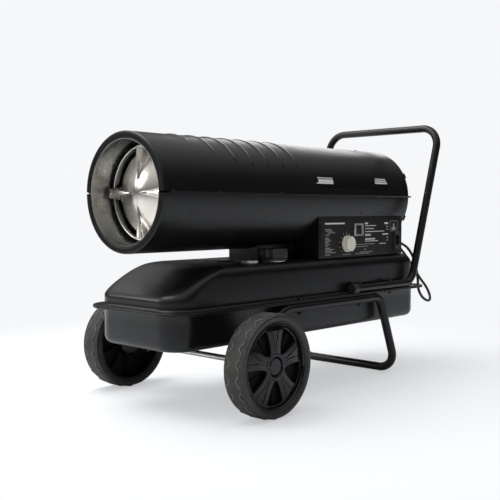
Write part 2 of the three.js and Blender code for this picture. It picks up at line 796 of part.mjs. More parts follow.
function addCovers() {
  const through = (y, z, halfY, halfZ) => {
    return block(coverX - coverSheet - 1, coverX + 10, y - halfY, y + halfY, z - halfZ, z + halfZ);
  };
  const stemHole = rod('x', stemRadius + runningGap, coverX - coverSheet - 1, coverX + 10, knobY, knobZ);
  const windowHole = through(displayY, displayZ, windowWidth / 2, windowWidth / 2);
  const switchHole = through(switchPlateY, switchPlateZ, housingWidth / 2 + seat, housingHeight / 2 + seat);
  const glandHole = rod('y', glandThread + seat, coverRearY - coverSheet - 1, coverRearY + 1, glandX, glandZ);
  const slots = plugBlades(coverRearY - coverSheet - 1, coverRearY + 1, seat);
  addPart('control_cover', cut(sideCover(1), stemHole, windowHole, switchHole, glandHole, ...slots), 'blackPaint');
  addPart('far_cover', sideCover(-1), 'blackPaint');

  const panelX = coverX + seat;
  const bottom = tankTopZ + seat;
  const plate = block(panelX, panelX + panelThickness, coverFrontY + panelMargin, coverRearY - panelMargin,
    bottom + panelMargin, bottom + coverHeight - panelMargin);
  addPart('control_panel', cut(plate, stemHole, windowHole, switchHole), 'label');
}

// The parked plug's two blades, and with a margin the slots in the cover's rear wall that hold them.
function plugBlades(from, to, margin) {
  const halfSheet = bladeSheet / 2 + margin;
  const halfHeight = bladeHeight / 2 + margin;
  return [-1, 1].map((side) => {
    const z = plugZ + (side * bladeSpread) / 2;
    return block(plugX - halfHeight, plugX + halfHeight, from, to, z - halfSheet, z + halfSheet);
  });
}

// ---------- controls ----------
function addControls() {
  const face = coverX + seat + panelThickness;
  const knobBack = face + runningGap;
  const knobFront = knobBack + knobHeight;
  const skirt = rod('x', knobRadius, knobBack, knobBack + knobHeight * 0.3, knobY, knobZ, 24);
  const grip = rod('x', knobRadius * 0.88, knobBack + 1, knobFront - 2, knobY, knobZ, 24);
  const bar = block(knobBack + 2, knobFront, knobY - 3.5, knobY + 3.5, knobZ - knobRadius * 0.9, knobZ + knobRadius * 0.9);
  const stem = rod('x', stemRadius, thermostatFront - stemDepth, knobBack + 2, knobY, knobZ);
  addPart('thermostat_knob', join(skirt, grip, bar, stem), 'cream');

  const half = thermostatWidth / 2;
  const casing = block(thermostatFront - thermostatDepth, thermostatFront, knobY - half, knobY + half,
    knobZ - half, knobZ + half);
  const bore = rod('x', stemRadius + shaftPlay, thermostatFront - stemDepth - 2, thermostatFront + 1, knobY, knobZ);
  addPart('thermostat', cut(casing, bore), 'blackPlastic');

  const bezelBack = face + seat;
  const bezel = block(bezelBack, bezelBack + bezelThickness, displayY - displayWidth / 2, displayY + displayWidth / 2,
    displayZ - displayHeight / 2, displayZ + displayHeight / 2);
  const paneHalf = windowWidth / 2;
  const opening = block(bezelBack - 1, bezelBack + bezelThickness + 1, displayY - paneHalf, displayY + paneHalf,
    displayZ - paneHalf, displayZ + paneHalf);
  addPart('display_frame', cut(bezel, opening), 'liner');
  const pane = paneHalf - seat;
  addPart('display_window', block(coverX - 4, bezelBack + bezelThickness - 0.5, displayY - pane, displayY + pane,
    displayZ - pane, displayZ + pane), 'glass');
  addSwitch(face + seat);
}

function addSwitch(back) {
  const y = switchPlateY;
  const z = switchPlateZ;
  const plate = block(back, back + switchPlateThickness, y - switchPlateWidth / 2, y + switchPlateWidth / 2,
    z - switchPlateHeight / 2, z + switchPlateHeight / 2);
  const housing = block(coverX - housingDepth, back + 0.5, y - housingWidth / 2, y + housingWidth / 2,
    z - housingHeight / 2, z + housingHeight / 2);
  const wellY = rockerWidth / 2 + rockerPlay;
  const wellZ = rockerHeight / 2 + rockerPlay;
  const well = block(coverX - rockerDepth - 4, back + switchPlateThickness + 1, y - wellY, y + wellY, z - wellZ, z + wellZ);
  addPart('switch_housing', cut(join(plate, housing), well), 'blackPlastic');

  // the rocker rests tipped on its off side, about a pin in the housing's side walls
  const front = back + switchPlateThickness + rockerProud;
  const profile = [[-rockerDepth, -4], [-rockerDepth, 4], [front - coverX - 1.5, rockerHeight / 2],
    [front - coverX, rockerHeight / 2 - 1], [front - coverX - 1.4, 0], [front - coverX, 1 - rockerHeight / 2],
    [front - coverX - 1.5, -rockerHeight / 2]];
  const body = new THREE.ExtrudeGeometry(shapeFrom(profile), { depth: rockerWidth, bevelEnabled: false });
  body.rotateX(Math.PI / 2).translate(0, rockerWidth / 2, 0).rotateY(THREE.MathUtils.degToRad(rockerTip));
  addPart('power_switch', toGeometry(toSolid(body.translate(coverX, y, z))), 'glossBlack');
}

function addElectrics() {
  const boardX = coverX - coverSheet - seat - boardPost;
  const board = block(boardX - boardSheet, boardX, boardFrontY, boardRearY, boardLowZ, boardLowZ + boardHeight);
  const low = boardLowZ + boardInset;
  const posts = [boardFrontY + boardInset, boardRearY - boardInset].map((y) => {
    return rod('x', stemRadius, boardX - 0.5, boardX + boardPost, y, low, 8);
  });
  const relays = [0, 1].map((i) => {
    const y = boardFrontY + relayFirstY + i * relayPitch;
    return block(boardX - relayDepth, boardX - 1, y - relayHalf, y + relayHalf, low, low + relayHeight);
  });
  addPart('control_board', join(board, ...posts, ...relays), 'board');
  const base = tankTopZ + seat;
  addPart('ignition_transformer', block(transformerX0, transformerX0 + transformerSize, transformerY,
    transformerY + transformerLength, base, base + transformerHeight), 'blackPlastic');
}

// ---------- fuel tank ----------
function tankUpperRing(z, inset) {
  const base = flangeTopZ;
  const height = tankTopZ - base;
  const share = Math.max(0, Math.min(1, (z - base) / height));
  const lean = Math.max(0, Math.min(1, (z - base - frontSlopeFoot) / (height - frontSlopeFoot)));
  const slope = frontSlopeLength * lean ** 1.35 + frontBrowLength * lean ** 30;
  const above = Math.max(0, z - (tankTopZ - tankRidgeRadius));
  const roll = tankRidgeRadius - Math.sqrt(Math.max(0, tankRidgeRadius ** 2 - above ** 2));
  const halfWidth = tankHalfWidth - 1.5 * share - roll - inset;
  const rear = tankRearY - tankRearStep - roll - inset;
  const frontCorner = tankCorner + (tankTopCorner - tankCorner) * lean - inset;
  return [halfWidth, tankFrontY + slope + inset, rear, tankRearCorner - inset, frontCorner];
}

const flangeOutline = [flangeHalfWidth, flangeFrontY, flangeRearY, flangeRearCorner, flangeCorner];

function tankUpper() {
  const seamZ = tankFlangeZ + flangeSheet + seat;
  const ridgeZ = tankTopZ - tankRidgeRadius;
  const levels = [0, 0.4, 0.75, 1].map((share) => flangeTopZ + share * (ridgeZ - flangeTopZ));
  for (const degrees of [32, 60, 90]) {
    levels.push(ridgeZ + tankRidgeRadius * Math.sin(THREE.MathUtils.degToRad(degrees)));
  }
  const outer = levels.map((z) => ringAt(z, ...tankUpperRing(z, 0)));
  const inner = levels.map((z) => ringAt(Math.max(seamZ + 0.01, z - tankWall), ...tankUpperRing(z, tankWall)));
  inner[0] = ringAt(seamZ, ...tankUpperRing(levels[0], tankWall));
  const flange = (z) => ringAt(z, ...flangeOutline);
  const rings = [...inner.reverse(), flange(seamZ), flange(flangeTopZ), ...outer];
  return skin(rings, false);
}

function tankLower() {
  const bottom = panBottomZ;
  const topZ = tankFlangeZ + flangeSheet;
  const ring = (z, inset) => {
    const below = Math.max(0, bottom + panEdgeRadius - z);
    const roll = panEdgeRadius - Math.sqrt(Math.max(0, panEdgeRadius ** 2 - below ** 2));
    return [tankHalfWidth - roll - inset, tankFrontY + roll + inset, tankRearY - roll - inset, tankRearCorner - inset,
      tankCorner - inset];
  };
  const levels = [90, 55, 25, 0].map((degrees) => {
    return bottom + panEdgeRadius * (1 - Math.sin(THREE.MathUtils.degToRad(degrees)));
  });
  const outer = [...levels, tankFlangeZ].map((z) => ringAt(z, ...ring(z, 0)));
  const inner = levels.map((z) => ringAt(z + tankWall, ...ring(z, tankWall)));
  inner.push(ringAt(topZ, ...ring(tankFlangeZ, tankWall)));
  const flange = (z) => ringAt(z, ...flangeOutline);
  return skin([...outer, flange(tankFlangeZ), flange(topZ), ...inner.reverse()], false);
}

function addTank() {
  const upperHoles = [
    rod('z', neckRadius + seat, tankTopZ - 10, tankTopZ + 5, fillerX, fillerY, 24),
    rod('z', gaugeStemRadius + seat, tankTopZ - 10, tankTopZ + 5, gaugeX, gaugeY, 16),
    rod('z', hoseRadius + seat, tankTopZ - 10, tankTopZ + 5, hoseOffset, fuelRiseY, 12),
  ];
  addPart('tank_upper', cut(tankUpper(), ...upperHoles, ...boltHoles()), 'blackPaint');
  const drainHole = rod('z', drainRadius + seat, panBottomZ - 5, panBottomZ + 5, 0, drainY, 24);
  addPart('tank_lower', cut(tankLower(), drainHole, ...boltHoles()), 'blackPaint');
  const head = rod('z', drainRadius + 3, panBottomZ - seat - drainHeadHeight, panBottomZ - seat, 0, drainY, 6);
  const stem = rod('z', drainRadius, panBottomZ - seat - 1, panBottomZ + 9, 0, drainY, 24);
  addPart('drain_plug', join(head, stem), 'zinc');

  const filterLow = panBottomZ + tankWall + seat;
  const filter = rod('z', filterRadius, filterLow, filterLow + filterHeight, hoseOffset, fuelRiseY, 20);
  addPart('fuel_filter', filter, 'brass');
}

function boltHoles() {
  const holes = [];
  for (const side of [-1, 1]) {
    for (const y of [frontBoltY, midBoltY, rearBoltY]) {
      holes.push(rod('z', boltRadius + boltGap, legRunZ - 40, handleRunZ + 40, side * legRunX, y, 8));
    }
  }
  return holes;
}

// ---------- filler and gauge ----------
function addFiller() {
  const low = tankTopZ + seat;
  const at = (geometry) => geometry.rotateX(Math.PI / 2).translate(fillerX, fillerY, 0);
  const outline = [[neckRadius - neckWall, tankTopZ - 8], [neckRadius, tankTopZ - 8], [neckRadius, low],
    [neckRadius + 4, low], [neckRadius + 4, low + 1.5], [neckRadius, low + 1.5], [neckRadius, low + neckHeight],
    [neckRadius - neckWall, low + neckHeight]];
  const profile = outline.map(([radius, z]) => new THREE.Vector2(radius, z));
  profile.push(profile[0].clone());
  addPart('filler_neck', at(new THREE.LatheGeometry(profile, 24)), 'zinc');

  const capLow = low + 1.5 + runningGap;
  const rim = [];
  const steps = capLobes * 4;
  for (let i = 0; i < steps; i += 1) {
    const angle = (i / steps) * 2 * Math.PI;
    const radius = capOuterRadius - capLobeDepth * (0.5 - 0.5 * Math.tanh(3 * Math.cos(capLobes * angle)));
    rim.push([radius * Math.cos(angle), radius * Math.sin(angle)]);
  }
  const body = new THREE.ExtrudeGeometry(shapeFrom(rim), { depth: capHeight - 3, bevelEnabled: false });
  body.translate(fillerX, fillerY, capLow);
  const crown = rod('z', capOuterRadius - capLobeDepth - 1, capLow + 1, capLow + capHeight, fillerX, fillerY, 24);
  const room = rod('z', neckRadius + seat + 0.3, capLow - 1, low + neckHeight + runningGap, fillerX, fillerY, 24);
  addPart('fuel_cap', cut(join(body, crown), room), 'blackPlastic');
}

function addGauge() {
  const low = tankTopZ + seat;
  const x = gaugeX;
  const y = gaugeY;
  const pivotZ = tankTopZ - floatPivotDrop;
  const cup = rod('z', gaugeRadius, low, low + gaugeHeight, x, y, 24);
  const recess = rod('z', gaugeRadius - gaugeWall, low + gaugeFloor, low + gaugeHeight + 1, x, y, 24);
  const stem = rod('z', gaugeStemRadius, pivotZ + 6, low + 1, x, y, 16);
  const ears = [-1, 1].map((side) => {
    const near = side * forkGap;
    const far = side * (forkGap + forkEar);
    return block(x + Math.min(near, far), x + Math.max(near, far), y - 4, y + 4, pivotZ - 4, pivotZ + 8);
  });
  const bridge = block(x - forkGap - forkEar, x + forkGap + forkEar, y - 4, y + 4, pivotZ + 5.5, pivotZ + 8);
  const pinHole = rod('x', floatPinRadius + shaftPlay, x - 10, x + 10, y, pivotZ, 12);
  addPart('gauge_body', cut(join(cup, stem, ...ears, bridge), recess, pinHole), 'zinc');

  const needleLow = low + gaugeFloor + seat;
  const hub = rod('z', 2.2, needleLow, needleLow + 1.2, x, y, 12);
  const pointer = block(x - 0.7, x + 0.7, y - 3, y + gaugeRadius - gaugeWall - 3, needleLow, needleLow + 0.7);
  addPart('gauge_needle', join(hub, pointer), 'red');
  const lensLow = low + gaugeHeight - 1.2;
  addPart('gauge_lens', rod('z', gaugeRadius - gaugeWall - seat, lensLow, lensLow + 1.4, x, y, 24), 'glass');

  const pin = rod('x', floatPinRadius, x - forkGap - forkEar, x + forkGap + forkEar, y, pivotZ, 12);
  const boss = rod('x', 3.2, x - forkGap + 0.4, x + forkGap - 0.4, y, pivotZ, 12);
  const arm = rod('y', 1.4, y + 2, y + floatArmLength, x, pivotZ, 8);
  const float = rod('x', floatRadius, x - floatLength, x + 6, y + floatArmLength + floatRadius - 2, pivotZ, 20);
  addPart('float_arm', join(pin, boss, arm, float), 'brass');
}

function addHoses() {
  const end = burnerRearY + seat;
  const point = (x, y, z) => new THREE.Vector3(x, y, z);
  const filterTop = panBottomZ + tankWall + seat + filterHeight + seat;
  const fuel = bentLine([point(hoseOffset, fuelRiseY, filterTop), point(hoseOffset, fuelRiseY, shellZ),
    point(hoseOffset, end, shellZ)], [hoseBend], 18);
  addPart('fuel_line', sweep(fuel, hoseRadius, 0, 8), 'hose');
  const airY = motorRearY + seat + pumpLength / 2;
  const under = tankTopZ + airLineRise;
  const bodyEdge = shellZ - Math.sqrt(pumpRadius ** 2 - hoseOffset ** 2) - 1.2;
  const air = bentLine([point(-hoseOffset, airY, bodyEdge), point(-hoseOffset, airY, under),
    point(-hoseOffset, airRiseY, under), point(-hoseOffset, airRiseY, shellZ), point(-hoseOffset, end, shellZ)],
  [hoseBend / 2, hoseBend / 2, hoseBend], 30);
  addPart('air_line', sweep(air, hoseRadius, 0, 8), 'hose');
}

function shellHoseHoles() {
  const low = shellZ - shellRadius - 5;
  const high = shellZ - shellRadius + 8;
  const airY = motorRearY + seat + pumpLength / 2;
  return [
    rod('z', hoseRadius + 0.8, low, high, hoseOffset, fuelRiseY, 12),
    rod('z', hoseRadius + 0.8, low, high, -hoseOffset, airRiseY, 12),
    rod('z', hoseRadius + 0.8, low, high, -hoseOffset, airY, 12),
  ];
}

// ---------- frame, wheels and handle ----------
function addLegFrame() {
  const footZ = legTubeRadius * Math.cos(Math.PI / tubeSides); // a facet lies on the floor
  const point = (x, y, z) => new THREE.Vector3(x, y, z);
  const slope = point(0, axleY - legFrontBendY, axleZ - legRunZ).normalize();
  const front = point(legRunX, axleY, axleZ).addScaledVector(slope, legTubeRadius + 4);
  const corners = [point(0, legFootY, footZ), point(legFootX, legFootY, footZ),
    point(legRunX, legRearBendY, legRunZ), point(legRunX, legFrontBendY, legRunZ), front];
  const line = bentLine(corners, [footBendRadius, legBendRadius, frontBendRadius], 26);
  const half = sweep(line, legTubeRadius, legTubeRadius - legTubeWall, tubeSides);
  const axleHole = rod('x', axleRadius + seat, -2 * legRunX, 2 * legRunX, axleY, axleZ, 16);
  addPart('leg_frame', cut(join(half, mirrored(half)), axleHole, ...boltHoles()), 'blackPaint');
}

function addWheel(side, sideName) {
  const middle = (side * wheelTrack) / 2;
  const place = (geometry) => {
    const turned = geometry.rotateZ(-Math.PI / 2);
    if (side < 0) turned.rotateZ(Math.PI);
    return turned.translate(middle, axleY, axleZ);
  };
  const lathe = (points, sides) => {
    const profile = points.map(([radius, x]) => new THREE.Vector2(radius, x));
    profile.push(profile[0].clone());
    return new THREE.LatheGeometry(profile, sides);
  };
  const half = tyreWidth / 2;
  const inner = tyreRadius - tyreDepth;
  const shoulder = 5;
  const tyre = lathe([[inner, -half + 2], [inner + 5, -half], [tyreRadius - shoulder, -half], [tyreRadius, -half + shoulder],
    [tyreRadius, half - shoulder], [tyreRadius - shoulder, half], [inner + 5, half], [inner, half - 2]], 40);
  addPart(`tyre_${sideName}`, place(tyre), 'rubber');

  const rimOuter = inner - seat;
  const rim = lathe([[rimOuter - 4, -half + 3], [rimOuter, -half + 3], [rimOuter, half - 3], [rimOuter - 4, half - 3]], 32);
  const faceOut = half - wheelFaceInset;
  const face = lathe([[hubRadius - 4, faceOut - wheelFaceThickness], [rimOuter - 2, faceOut - wheelFaceThickness],
    [rimOuter - 2, faceOut], [hubRadius - 4, faceOut]], 32);
  const petals = Array.from({ length: petalCount }, (_, i) => {
    return petalCutter(faceOut).rotateY(Math.PI / 2 + (i * 2 * Math.PI) / petalCount);
  });
  const bossIn = faceOut - hubBossLength;
  const recess = faceOut - capDepth + 2;
  const bore = axleRadius + axlePlay;
  const boss = lathe([[bore, bossIn], [hubRadius, bossIn], [hubRadius, faceOut], [capRadius + runningGap, faceOut],
    [capRadius + runningGap, recess], [bore, recess]], 20);
  addPart(`wheel_${sideName}`, place(join(cut(join(rim, face), ...petals), boss)), 'glossBlack');

  const capFront = faceOut + 2;
  const axleEnd = faceOut - 1;
  const grip = axleRadius + seat;
  const capBack = recess + runningGap;
  const cap = lathe([[grip, capBack], [capRadius, capBack], [capRadius, capFront - 2], [capRadius - 3, capFront],
    [0, capFront], [0, axleEnd + seat], [grip, axleEnd + seat]], 16);
  addPart(`hub_cap_${sideName}`, place(cap), 'glossBlack');
}

// A leaf-shaped cutter along the wheel's axis, lying between two spokes.
function petalCutter(faceOut) {
  const half = petalHalfAngle;
  const rad = THREE.MathUtils.degToRad;
  const outer = arcPoints(petalOuter, -half, half, 4);
  const middle = (petalInner + petalOuter) / 2;
  const waist = (sign) => [middle * Math.cos(rad(half)), sign * middle * Math.sin(rad(half))];
  const outline = [[petalInner, 0], waist(-1), ...outer, waist(1)];
  const cutter = new THREE.ExtrudeGeometry(shapeFrom(outline), { depth: petalDepth + 2, bevelEnabled: false });
  return cutter.rotateX(Math.PI / 2).translate(0, faceOut + 2, 0);
}

function addRollingGear() {
  addWheel(1, 'left');
  addWheel(-1, 'right');
  const faceOut = wheelTrack / 2 + tyreWidth / 2 - wheelFaceInset;
  addPart('axle', rod('x', axleRadius, -faceOut + 1, faceOut - 1, axleY, axleZ, 16), 'zinc');
}

function addHandle() {
  const point = (x, y, z) => new THREE.Vector3(x, y, z);
  const half = [point(handleRunX, handleStartY, handleRunZ), point(handleRunX, handleBendY, handleRunZ),
    point(handleTopX, handleTopY, handleTopZ)];
  const corners = [...half, ...half.map((p) => point(-p.x, p.y, p.z)).reverse()];
  const radii = [handleBendRadius, handleCornerRadius, handleCornerRadius, handleBendRadius];
  const tube = sweep(bentLine(corners, radii, 24), handleTubeRadius, handleTubeRadius - handleTubeWall, tubeSides);
  addPart('handle', cut(tube, ...boltHoles()), 'blackPaint');
  for (const [side, sideName] of [[1, 'left'], [-1, 'right']]) {
    const x = side * handleRunX;
    const low = handleStartY - seat - endCapWall;
    const outer = rod('y', handleTubeRadius + seat + endCapWall, low, low + endCapLength, x, handleRunZ, 20);
    const bore = rod('y', handleTubeRadius + seat, handleStartY - seat, low + endCapLength + 1, x, handleRunZ, 20);
    const flangeTop = block(x - 30, x + 30, low - 5, low + endCapLength + 5, flangeTopZ - 20, flangeTopZ + seat);
    addPart(`handle_cap_${sideName}`, cut(outer, bore, flangeTop), 'blackPlastic');
  }
}

function addBolts() {
  const legUnder = legRunZ - legTubeRadius;
  const handleTop = handleRunZ + handleTubeRadius;
  const rows = [['front', frontBoltY, flangeTopZ, legUnder], ['middle', midBoltY, handleTop, legUnder],
    ['rear', rearBoltY, handleTop, tankFlangeZ]];
  for (const [side, sideName] of [[1, 'left'], [-1, 'right']]) {
    const x = side * legRunX;
    for (const [row, y, top, under] of rows) {
      const head = rod('z', boltHeadRadius, top + boltGap, top + boltGap + boltHeadHeight, x, y, 6);
      const shank = rod('z', boltRadius, under - boltGap - boltHeadHeight - 2, top + boltGap + 1, x, y, 8);
      const nut = rod('z', boltHeadRadius, under - boltGap - boltHeadHeight, under - boltGap, x, y, 6);
      addPart(`frame_bolt_${row}_${sideName}`, join(head, shank, nut), 'blackPaint');
    }
  }
}

// ---------- power cord ----------
function addCord() {
  const point = (x, y, z) => new THREE.Vector3(x, y, z);
  const thread = rod('y', glandThread, coverRearY - coverSheet - 8, coverRearY + 1, glandX, glandZ, 16);
  const nut = rod('y', glandRadius, coverRearY + seat, coverRearY + glandLength, glandX, glandZ, 12);
  addPart('cord_gland', join(thread, nut), 'blackPlastic');

  const startY = coverRearY + glandLength + seat;
  const plugBack = coverRearY + seat + plugLength;
  const free = smoothLine([
    point(glandX, startY + cordEnd, glandZ), ...cordLoop.map(([x, y, z]) => point(x, y, z)),
    point(plugX, plugBack + seat + cordEnd, plugZ)], cordStep);
  const route = [point(glandX, startY, glandZ), ...free, point(plugX, plugBack + seat, plugZ)];
  addPart('power_cord', sweep(route, cordRadius, 0, cordSides), 'hose');

  const grip = block(plugX - plugWidth / 2, plugX + plugWidth / 2, coverRearY + seat, plugBack - cordEnd,
    plugZ - plugHeight / 2, plugZ + plugHeight / 2);
  const neck = rod('y', cordRadius + 2.5, plugBack - cordEnd - 1, plugBack, plugX, plugZ, 12);
  const blades = plugBlades(coverRearY - bladeLength, coverRearY + seat + 1, 0);
  addPart('power_plug', join(grip, neck, ...blades), 'blackPlastic');
}

addShell();
addOutlet();
addBurner();
addMotor();
addGuard();
addPedestal();
addCovers();
addControls();
addElectrics();
addTank();
addFiller();
addGauge();
addHoses();
addLegFrame();
addRollingGear();
addHandle();
addBolts();
addCord();

export default group;
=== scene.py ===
import json
from math import ceil, copysign, cos, exp, hypot, pi, radians, sin, sqrt, tan, tanh
import bpy
import bmesh
from mathutils import Matrix, Vector

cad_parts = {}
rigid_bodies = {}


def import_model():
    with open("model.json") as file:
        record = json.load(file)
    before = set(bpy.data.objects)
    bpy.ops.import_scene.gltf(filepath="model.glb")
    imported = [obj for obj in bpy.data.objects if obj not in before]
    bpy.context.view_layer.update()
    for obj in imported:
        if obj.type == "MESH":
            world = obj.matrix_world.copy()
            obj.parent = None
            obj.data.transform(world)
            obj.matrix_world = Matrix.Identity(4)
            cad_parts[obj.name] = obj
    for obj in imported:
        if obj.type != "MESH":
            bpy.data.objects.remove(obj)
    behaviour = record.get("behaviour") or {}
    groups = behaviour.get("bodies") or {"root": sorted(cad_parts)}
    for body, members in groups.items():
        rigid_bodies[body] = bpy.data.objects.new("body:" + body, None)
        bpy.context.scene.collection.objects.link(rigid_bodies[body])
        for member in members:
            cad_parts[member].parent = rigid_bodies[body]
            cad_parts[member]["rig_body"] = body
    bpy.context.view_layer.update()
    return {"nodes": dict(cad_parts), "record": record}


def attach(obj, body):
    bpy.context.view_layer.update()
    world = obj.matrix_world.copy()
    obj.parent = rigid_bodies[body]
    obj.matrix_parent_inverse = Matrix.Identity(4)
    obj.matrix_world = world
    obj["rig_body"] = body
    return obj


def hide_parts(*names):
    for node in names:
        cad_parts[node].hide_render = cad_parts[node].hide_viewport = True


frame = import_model()
print("frame loaded")

mm = 0.001
midShift = -31.75  # the drawing's Y zero lies this far from the frame's
shellAxisZ = 433.2


# point on the drawing, in millimetres, to the frame in metres
def at(x, y, z):
    return Vector((x * mm, (y + midShift) * mm, z * mm))


# drawing point at a radius and an angle about the shell's axis
def polar(radius, turn, y):
    return radius * cos(turn), y, shellAxisZ + radius * sin(turn)


def aroundShell(radius, turn, y):
    return at(*polar(radius, turn, y))


def addObject(name, data):
    obj = bpy.data.objects.new(name, data)
    bpy.context.scene.collection.objects.link(obj)
    return obj


# camera, from the vanishing lines of the tank flange and the shell
camera = {"place": (1.2596, -1.43235, 0.39935), "azimuth": 43.09, "elevation": 2.78, "lens": 59.08}


def addCamera():
    data = bpy.data.cameras.new("camera")
    data.lens = camera["lens"]
    data.sensor_width = 36
    data.clip_end = 60
    obj = addObject("camera", data)
    turn, lift = radians(camera["azimuth"]), radians(camera["elevation"])
    back = Vector((sin(turn) * cos(lift), -cos(turn) * cos(lift), sin(lift)))
    right = Vector((cos(turn), sin(turn), 0))
    up = back.cross(right)
    pose = Matrix((right, up, back)).transposed().to_4x4()
    pose.translation = Vector(camera["place"])
    obj.matrix_world = pose
    bpy.context.scene.camera = obj


addCamera()

# finishes
finishes = {}


def setSockets(node, values):
    for socket, value in values.items():
        node.inputs[socket].default_value = value
    return node


# from one node's output to another's input
def wire(source, output, target, socket):
    source.id_data.links.new(source.outputs[output], target.inputs[socket])


def rangeNode(nodes, low, high, toLow, toHigh):
    values = {"From Min": low, "From Max": high, "To Min": toLow, "To Max": toHigh}
    return setSockets(nodes.new("ShaderNodeMapRange"), values)


# one procedural finish: tone, gloss and grain each follow their own noise
def nodeFinish(name, dark, light, toneScale, rough, roughScale, grain, grainScale, more):
    mat = bpy.data.materials.new(name)
    mat.use_nodes = True
    nodes = mat.node_tree.nodes
    shader = setSockets(nodes["Principled BSDF"], {
        "Metallic": more.get("metallic", 0), "Specular IOR Level": more.get("specular", 0.5),
        "Coat Weight": more.get("coat", 0), "Coat Roughness": 0.1,
        "Transmission Weight": more.get("clear", 0)})
    coords = nodes.new("ShaderNodeTexCoord")
    mapping = setSockets(nodes.new("ShaderNodeMapping"), {"Scale": more.get("stretch", (1, 1, 1))})
    wire(coords, "Object", mapping, "Vector")

    def noiseTo(target, socket, scale, detail, cells=False):
        if cells:
            tex = setSockets(nodes.new("ShaderNodeTexVoronoi"), {"Scale": scale})
        else:
            tex = setSockets(nodes.new("ShaderNodeTexNoise"), {"Scale": scale, "Detail": detail})
        wire(mapping, "Vector", tex, "Vector")
        wire(tex, "Distance" if cells else "Fac", target, socket)

    ramp = nodes.new("ShaderNodeValToRGB")
    for element, place, tone in zip(ramp.color_ramp.elements, (0.3, 0.7), (dark, light)):
        element.position = place
        element.color = (*tone, 1)
    noiseTo(ramp, "Fac", toneScale, 4)
    wire(ramp, "Color", shader, "Base Color")
    spread = rangeNode(nodes, 0.3, 0.7, *rough)
    noiseTo(spread, "Value", roughScale, 3)
    wire(spread, "Result", shader, "Roughness")
    bump = nodes.new("ShaderNodeBump")
    setSockets(bump, {"Strength": grain, "Distance": more.get("grainDepth", 0.0003)})
    noiseTo(bump, "Height", grainScale, 2, more.get("cells"))
    wire(bump, "Normal", shader, "Normal")
    return mat


# dark and light tone, their scale, range of roughness, its scale, grain, its scale, and what else a look has
paints = {
    "satinBlack": ((0.0045, 0.0045, 0.0048), (0.0068, 0.0068, 0.0072), 5, (0.28, 0.33), 30, 0.06, 1400,
                   {"specular": 0.3, "grainDepth": 0.0002}),
    # the turned-in rim's paint, darker and duller than the skin's: painted shade
    "hemBlack": ((0.003, 0.003, 0.0032), (0.005, 0.005, 0.0053), 12, (0.3, 0.4), 40, 0.1, 1400,
                 {"specular": 0.13}),
    "rimBlack": ((0.004, 0.004, 0.0045), (0.007, 0.007, 0.0075), 9, (0.08, 0.15), 20, 0.05, 300,
                 {"specular": 0.28}),
    # the wheels' pocket floors: matt as moulded, and darker for painted shade in the recesses
    "pocketBlack": ((0.003, 0.003, 0.003), (0.006, 0.006, 0.006), 30, (0.5, 0.65), 120, 0.25, 1300,
                    {"specular": 0.12}),
    # tyre side walls: smoother than the tread, and darker for painted shade
    "tyreSide": ((0.012, 0.012, 0.0125), (0.02, 0.02, 0.021), 30, (0.38, 0.5), 120, 0.15, 1100,
                 {"specular": 0.45}),
    # light lines along the tread band's edges: painted highlight
    "tyreBead": ((0.12, 0.117, 0.108), (0.19, 0.186, 0.172), 60, (0.34, 0.5), 140, 0.1, 900,
                 {"specular": 0.5}),
    "tyreRubber": ((0.026, 0.025, 0.022), (0.044, 0.042, 0.038), 22, (0.62, 0.82), 90, 0.25, 900,
                   {"specular": 0.35}),
    "zincPlate": ((0.42, 0.41, 0.38), (0.62, 0.6, 0.55), 30, (0.24, 0.42), 120, 0.12, 700, {"metallic": 1}),
    "galvanised": ((0.38, 0.38, 0.365), (0.52, 0.52, 0.5), 7, (0.22, 0.36), 30, 0.06, 420,
                   {"metallic": 1, "stretch": (1, 4, 1)}),
    "stainless": ((0.53, 0.495, 0.45), (0.69, 0.65, 0.6), 9, (0.17, 0.25), 25, 0.05, 160,
                  {"metallic": 1, "stretch": (1, 3, 1)}),
    "castAlloy": ((0.3, 0.3, 0.31), (0.45, 0.45, 0.46), 40, (0.38, 0.6), 150, 0.35, 600, {"metallic": 1}),
    "mouldedBlack": ((0.011, 0.011, 0.012), (0.02, 0.02, 0.021), 25, (0.38, 0.55), 200, 0.3, 1500,
                     {"cells": True}),
    "creamPlastic": ((0.72, 0.69, 0.6), (0.82, 0.79, 0.7), 30, (0.3, 0.42), 120, 0.08, 900, {}),
    "labelFilm": ((0.007, 0.007, 0.007), (0.012, 0.012, 0.012), 40, (0.3, 0.4), 60, 0.12, 1800,
                  {"specular": 0.2}),
    "labelGloss": ((0.004, 0.004, 0.004), (0.007, 0.007, 0.007), 20, (0.2, 0.27), 50, 0.05, 1200,
                   {"specular": 0.34}),
    "labelPrint": ((0.26, 0.26, 0.25), (0.4, 0.4, 0.385), 300, (0.4, 0.52), 200, 0.08, 1500, {}),
    "whitePrint": ((0.62, 0.62, 0.61), (0.74, 0.74, 0.73), 200, (0.34, 0.46), 200, 0.06, 1200, {}),
    "darkGlass": ((0.006, 0.007, 0.007), (0.012, 0.013, 0.012), 20, (0.04, 0.09), 30, 0.02, 200,
                  {"coat": 0.6}),
    "clearLens": ((0.85, 0.87, 0.86), (0.95, 0.96, 0.95), 20, (0.03, 0.1), 60, 0.03, 300, {"clear": 0.9}),
    "boardGreen": ((0.01, 0.045, 0.018), (0.016, 0.08, 0.03), 160, (0.35, 0.5), 200, 0.25, 900, {}),
    "brass": ((0.45, 0.31, 0.12), (0.62, 0.46, 0.2), 30, (0.22, 0.36), 80, 0.08, 500, {"metallic": 1}),
    "cordJacket": ((0.008, 0.008, 0.008), (0.014, 0.014, 0.014), 80, (0.42, 0.58), 200, 0.2, 1200, {}),
    "redPaint": ((0.42, 0.02, 0.012), (0.55, 0.035, 0.02), 60, (0.35, 0.5), 100, 0.08, 600, {}),
}
for name, look in paints.items():
    finishes[name] = nodeFinish(name, *look)

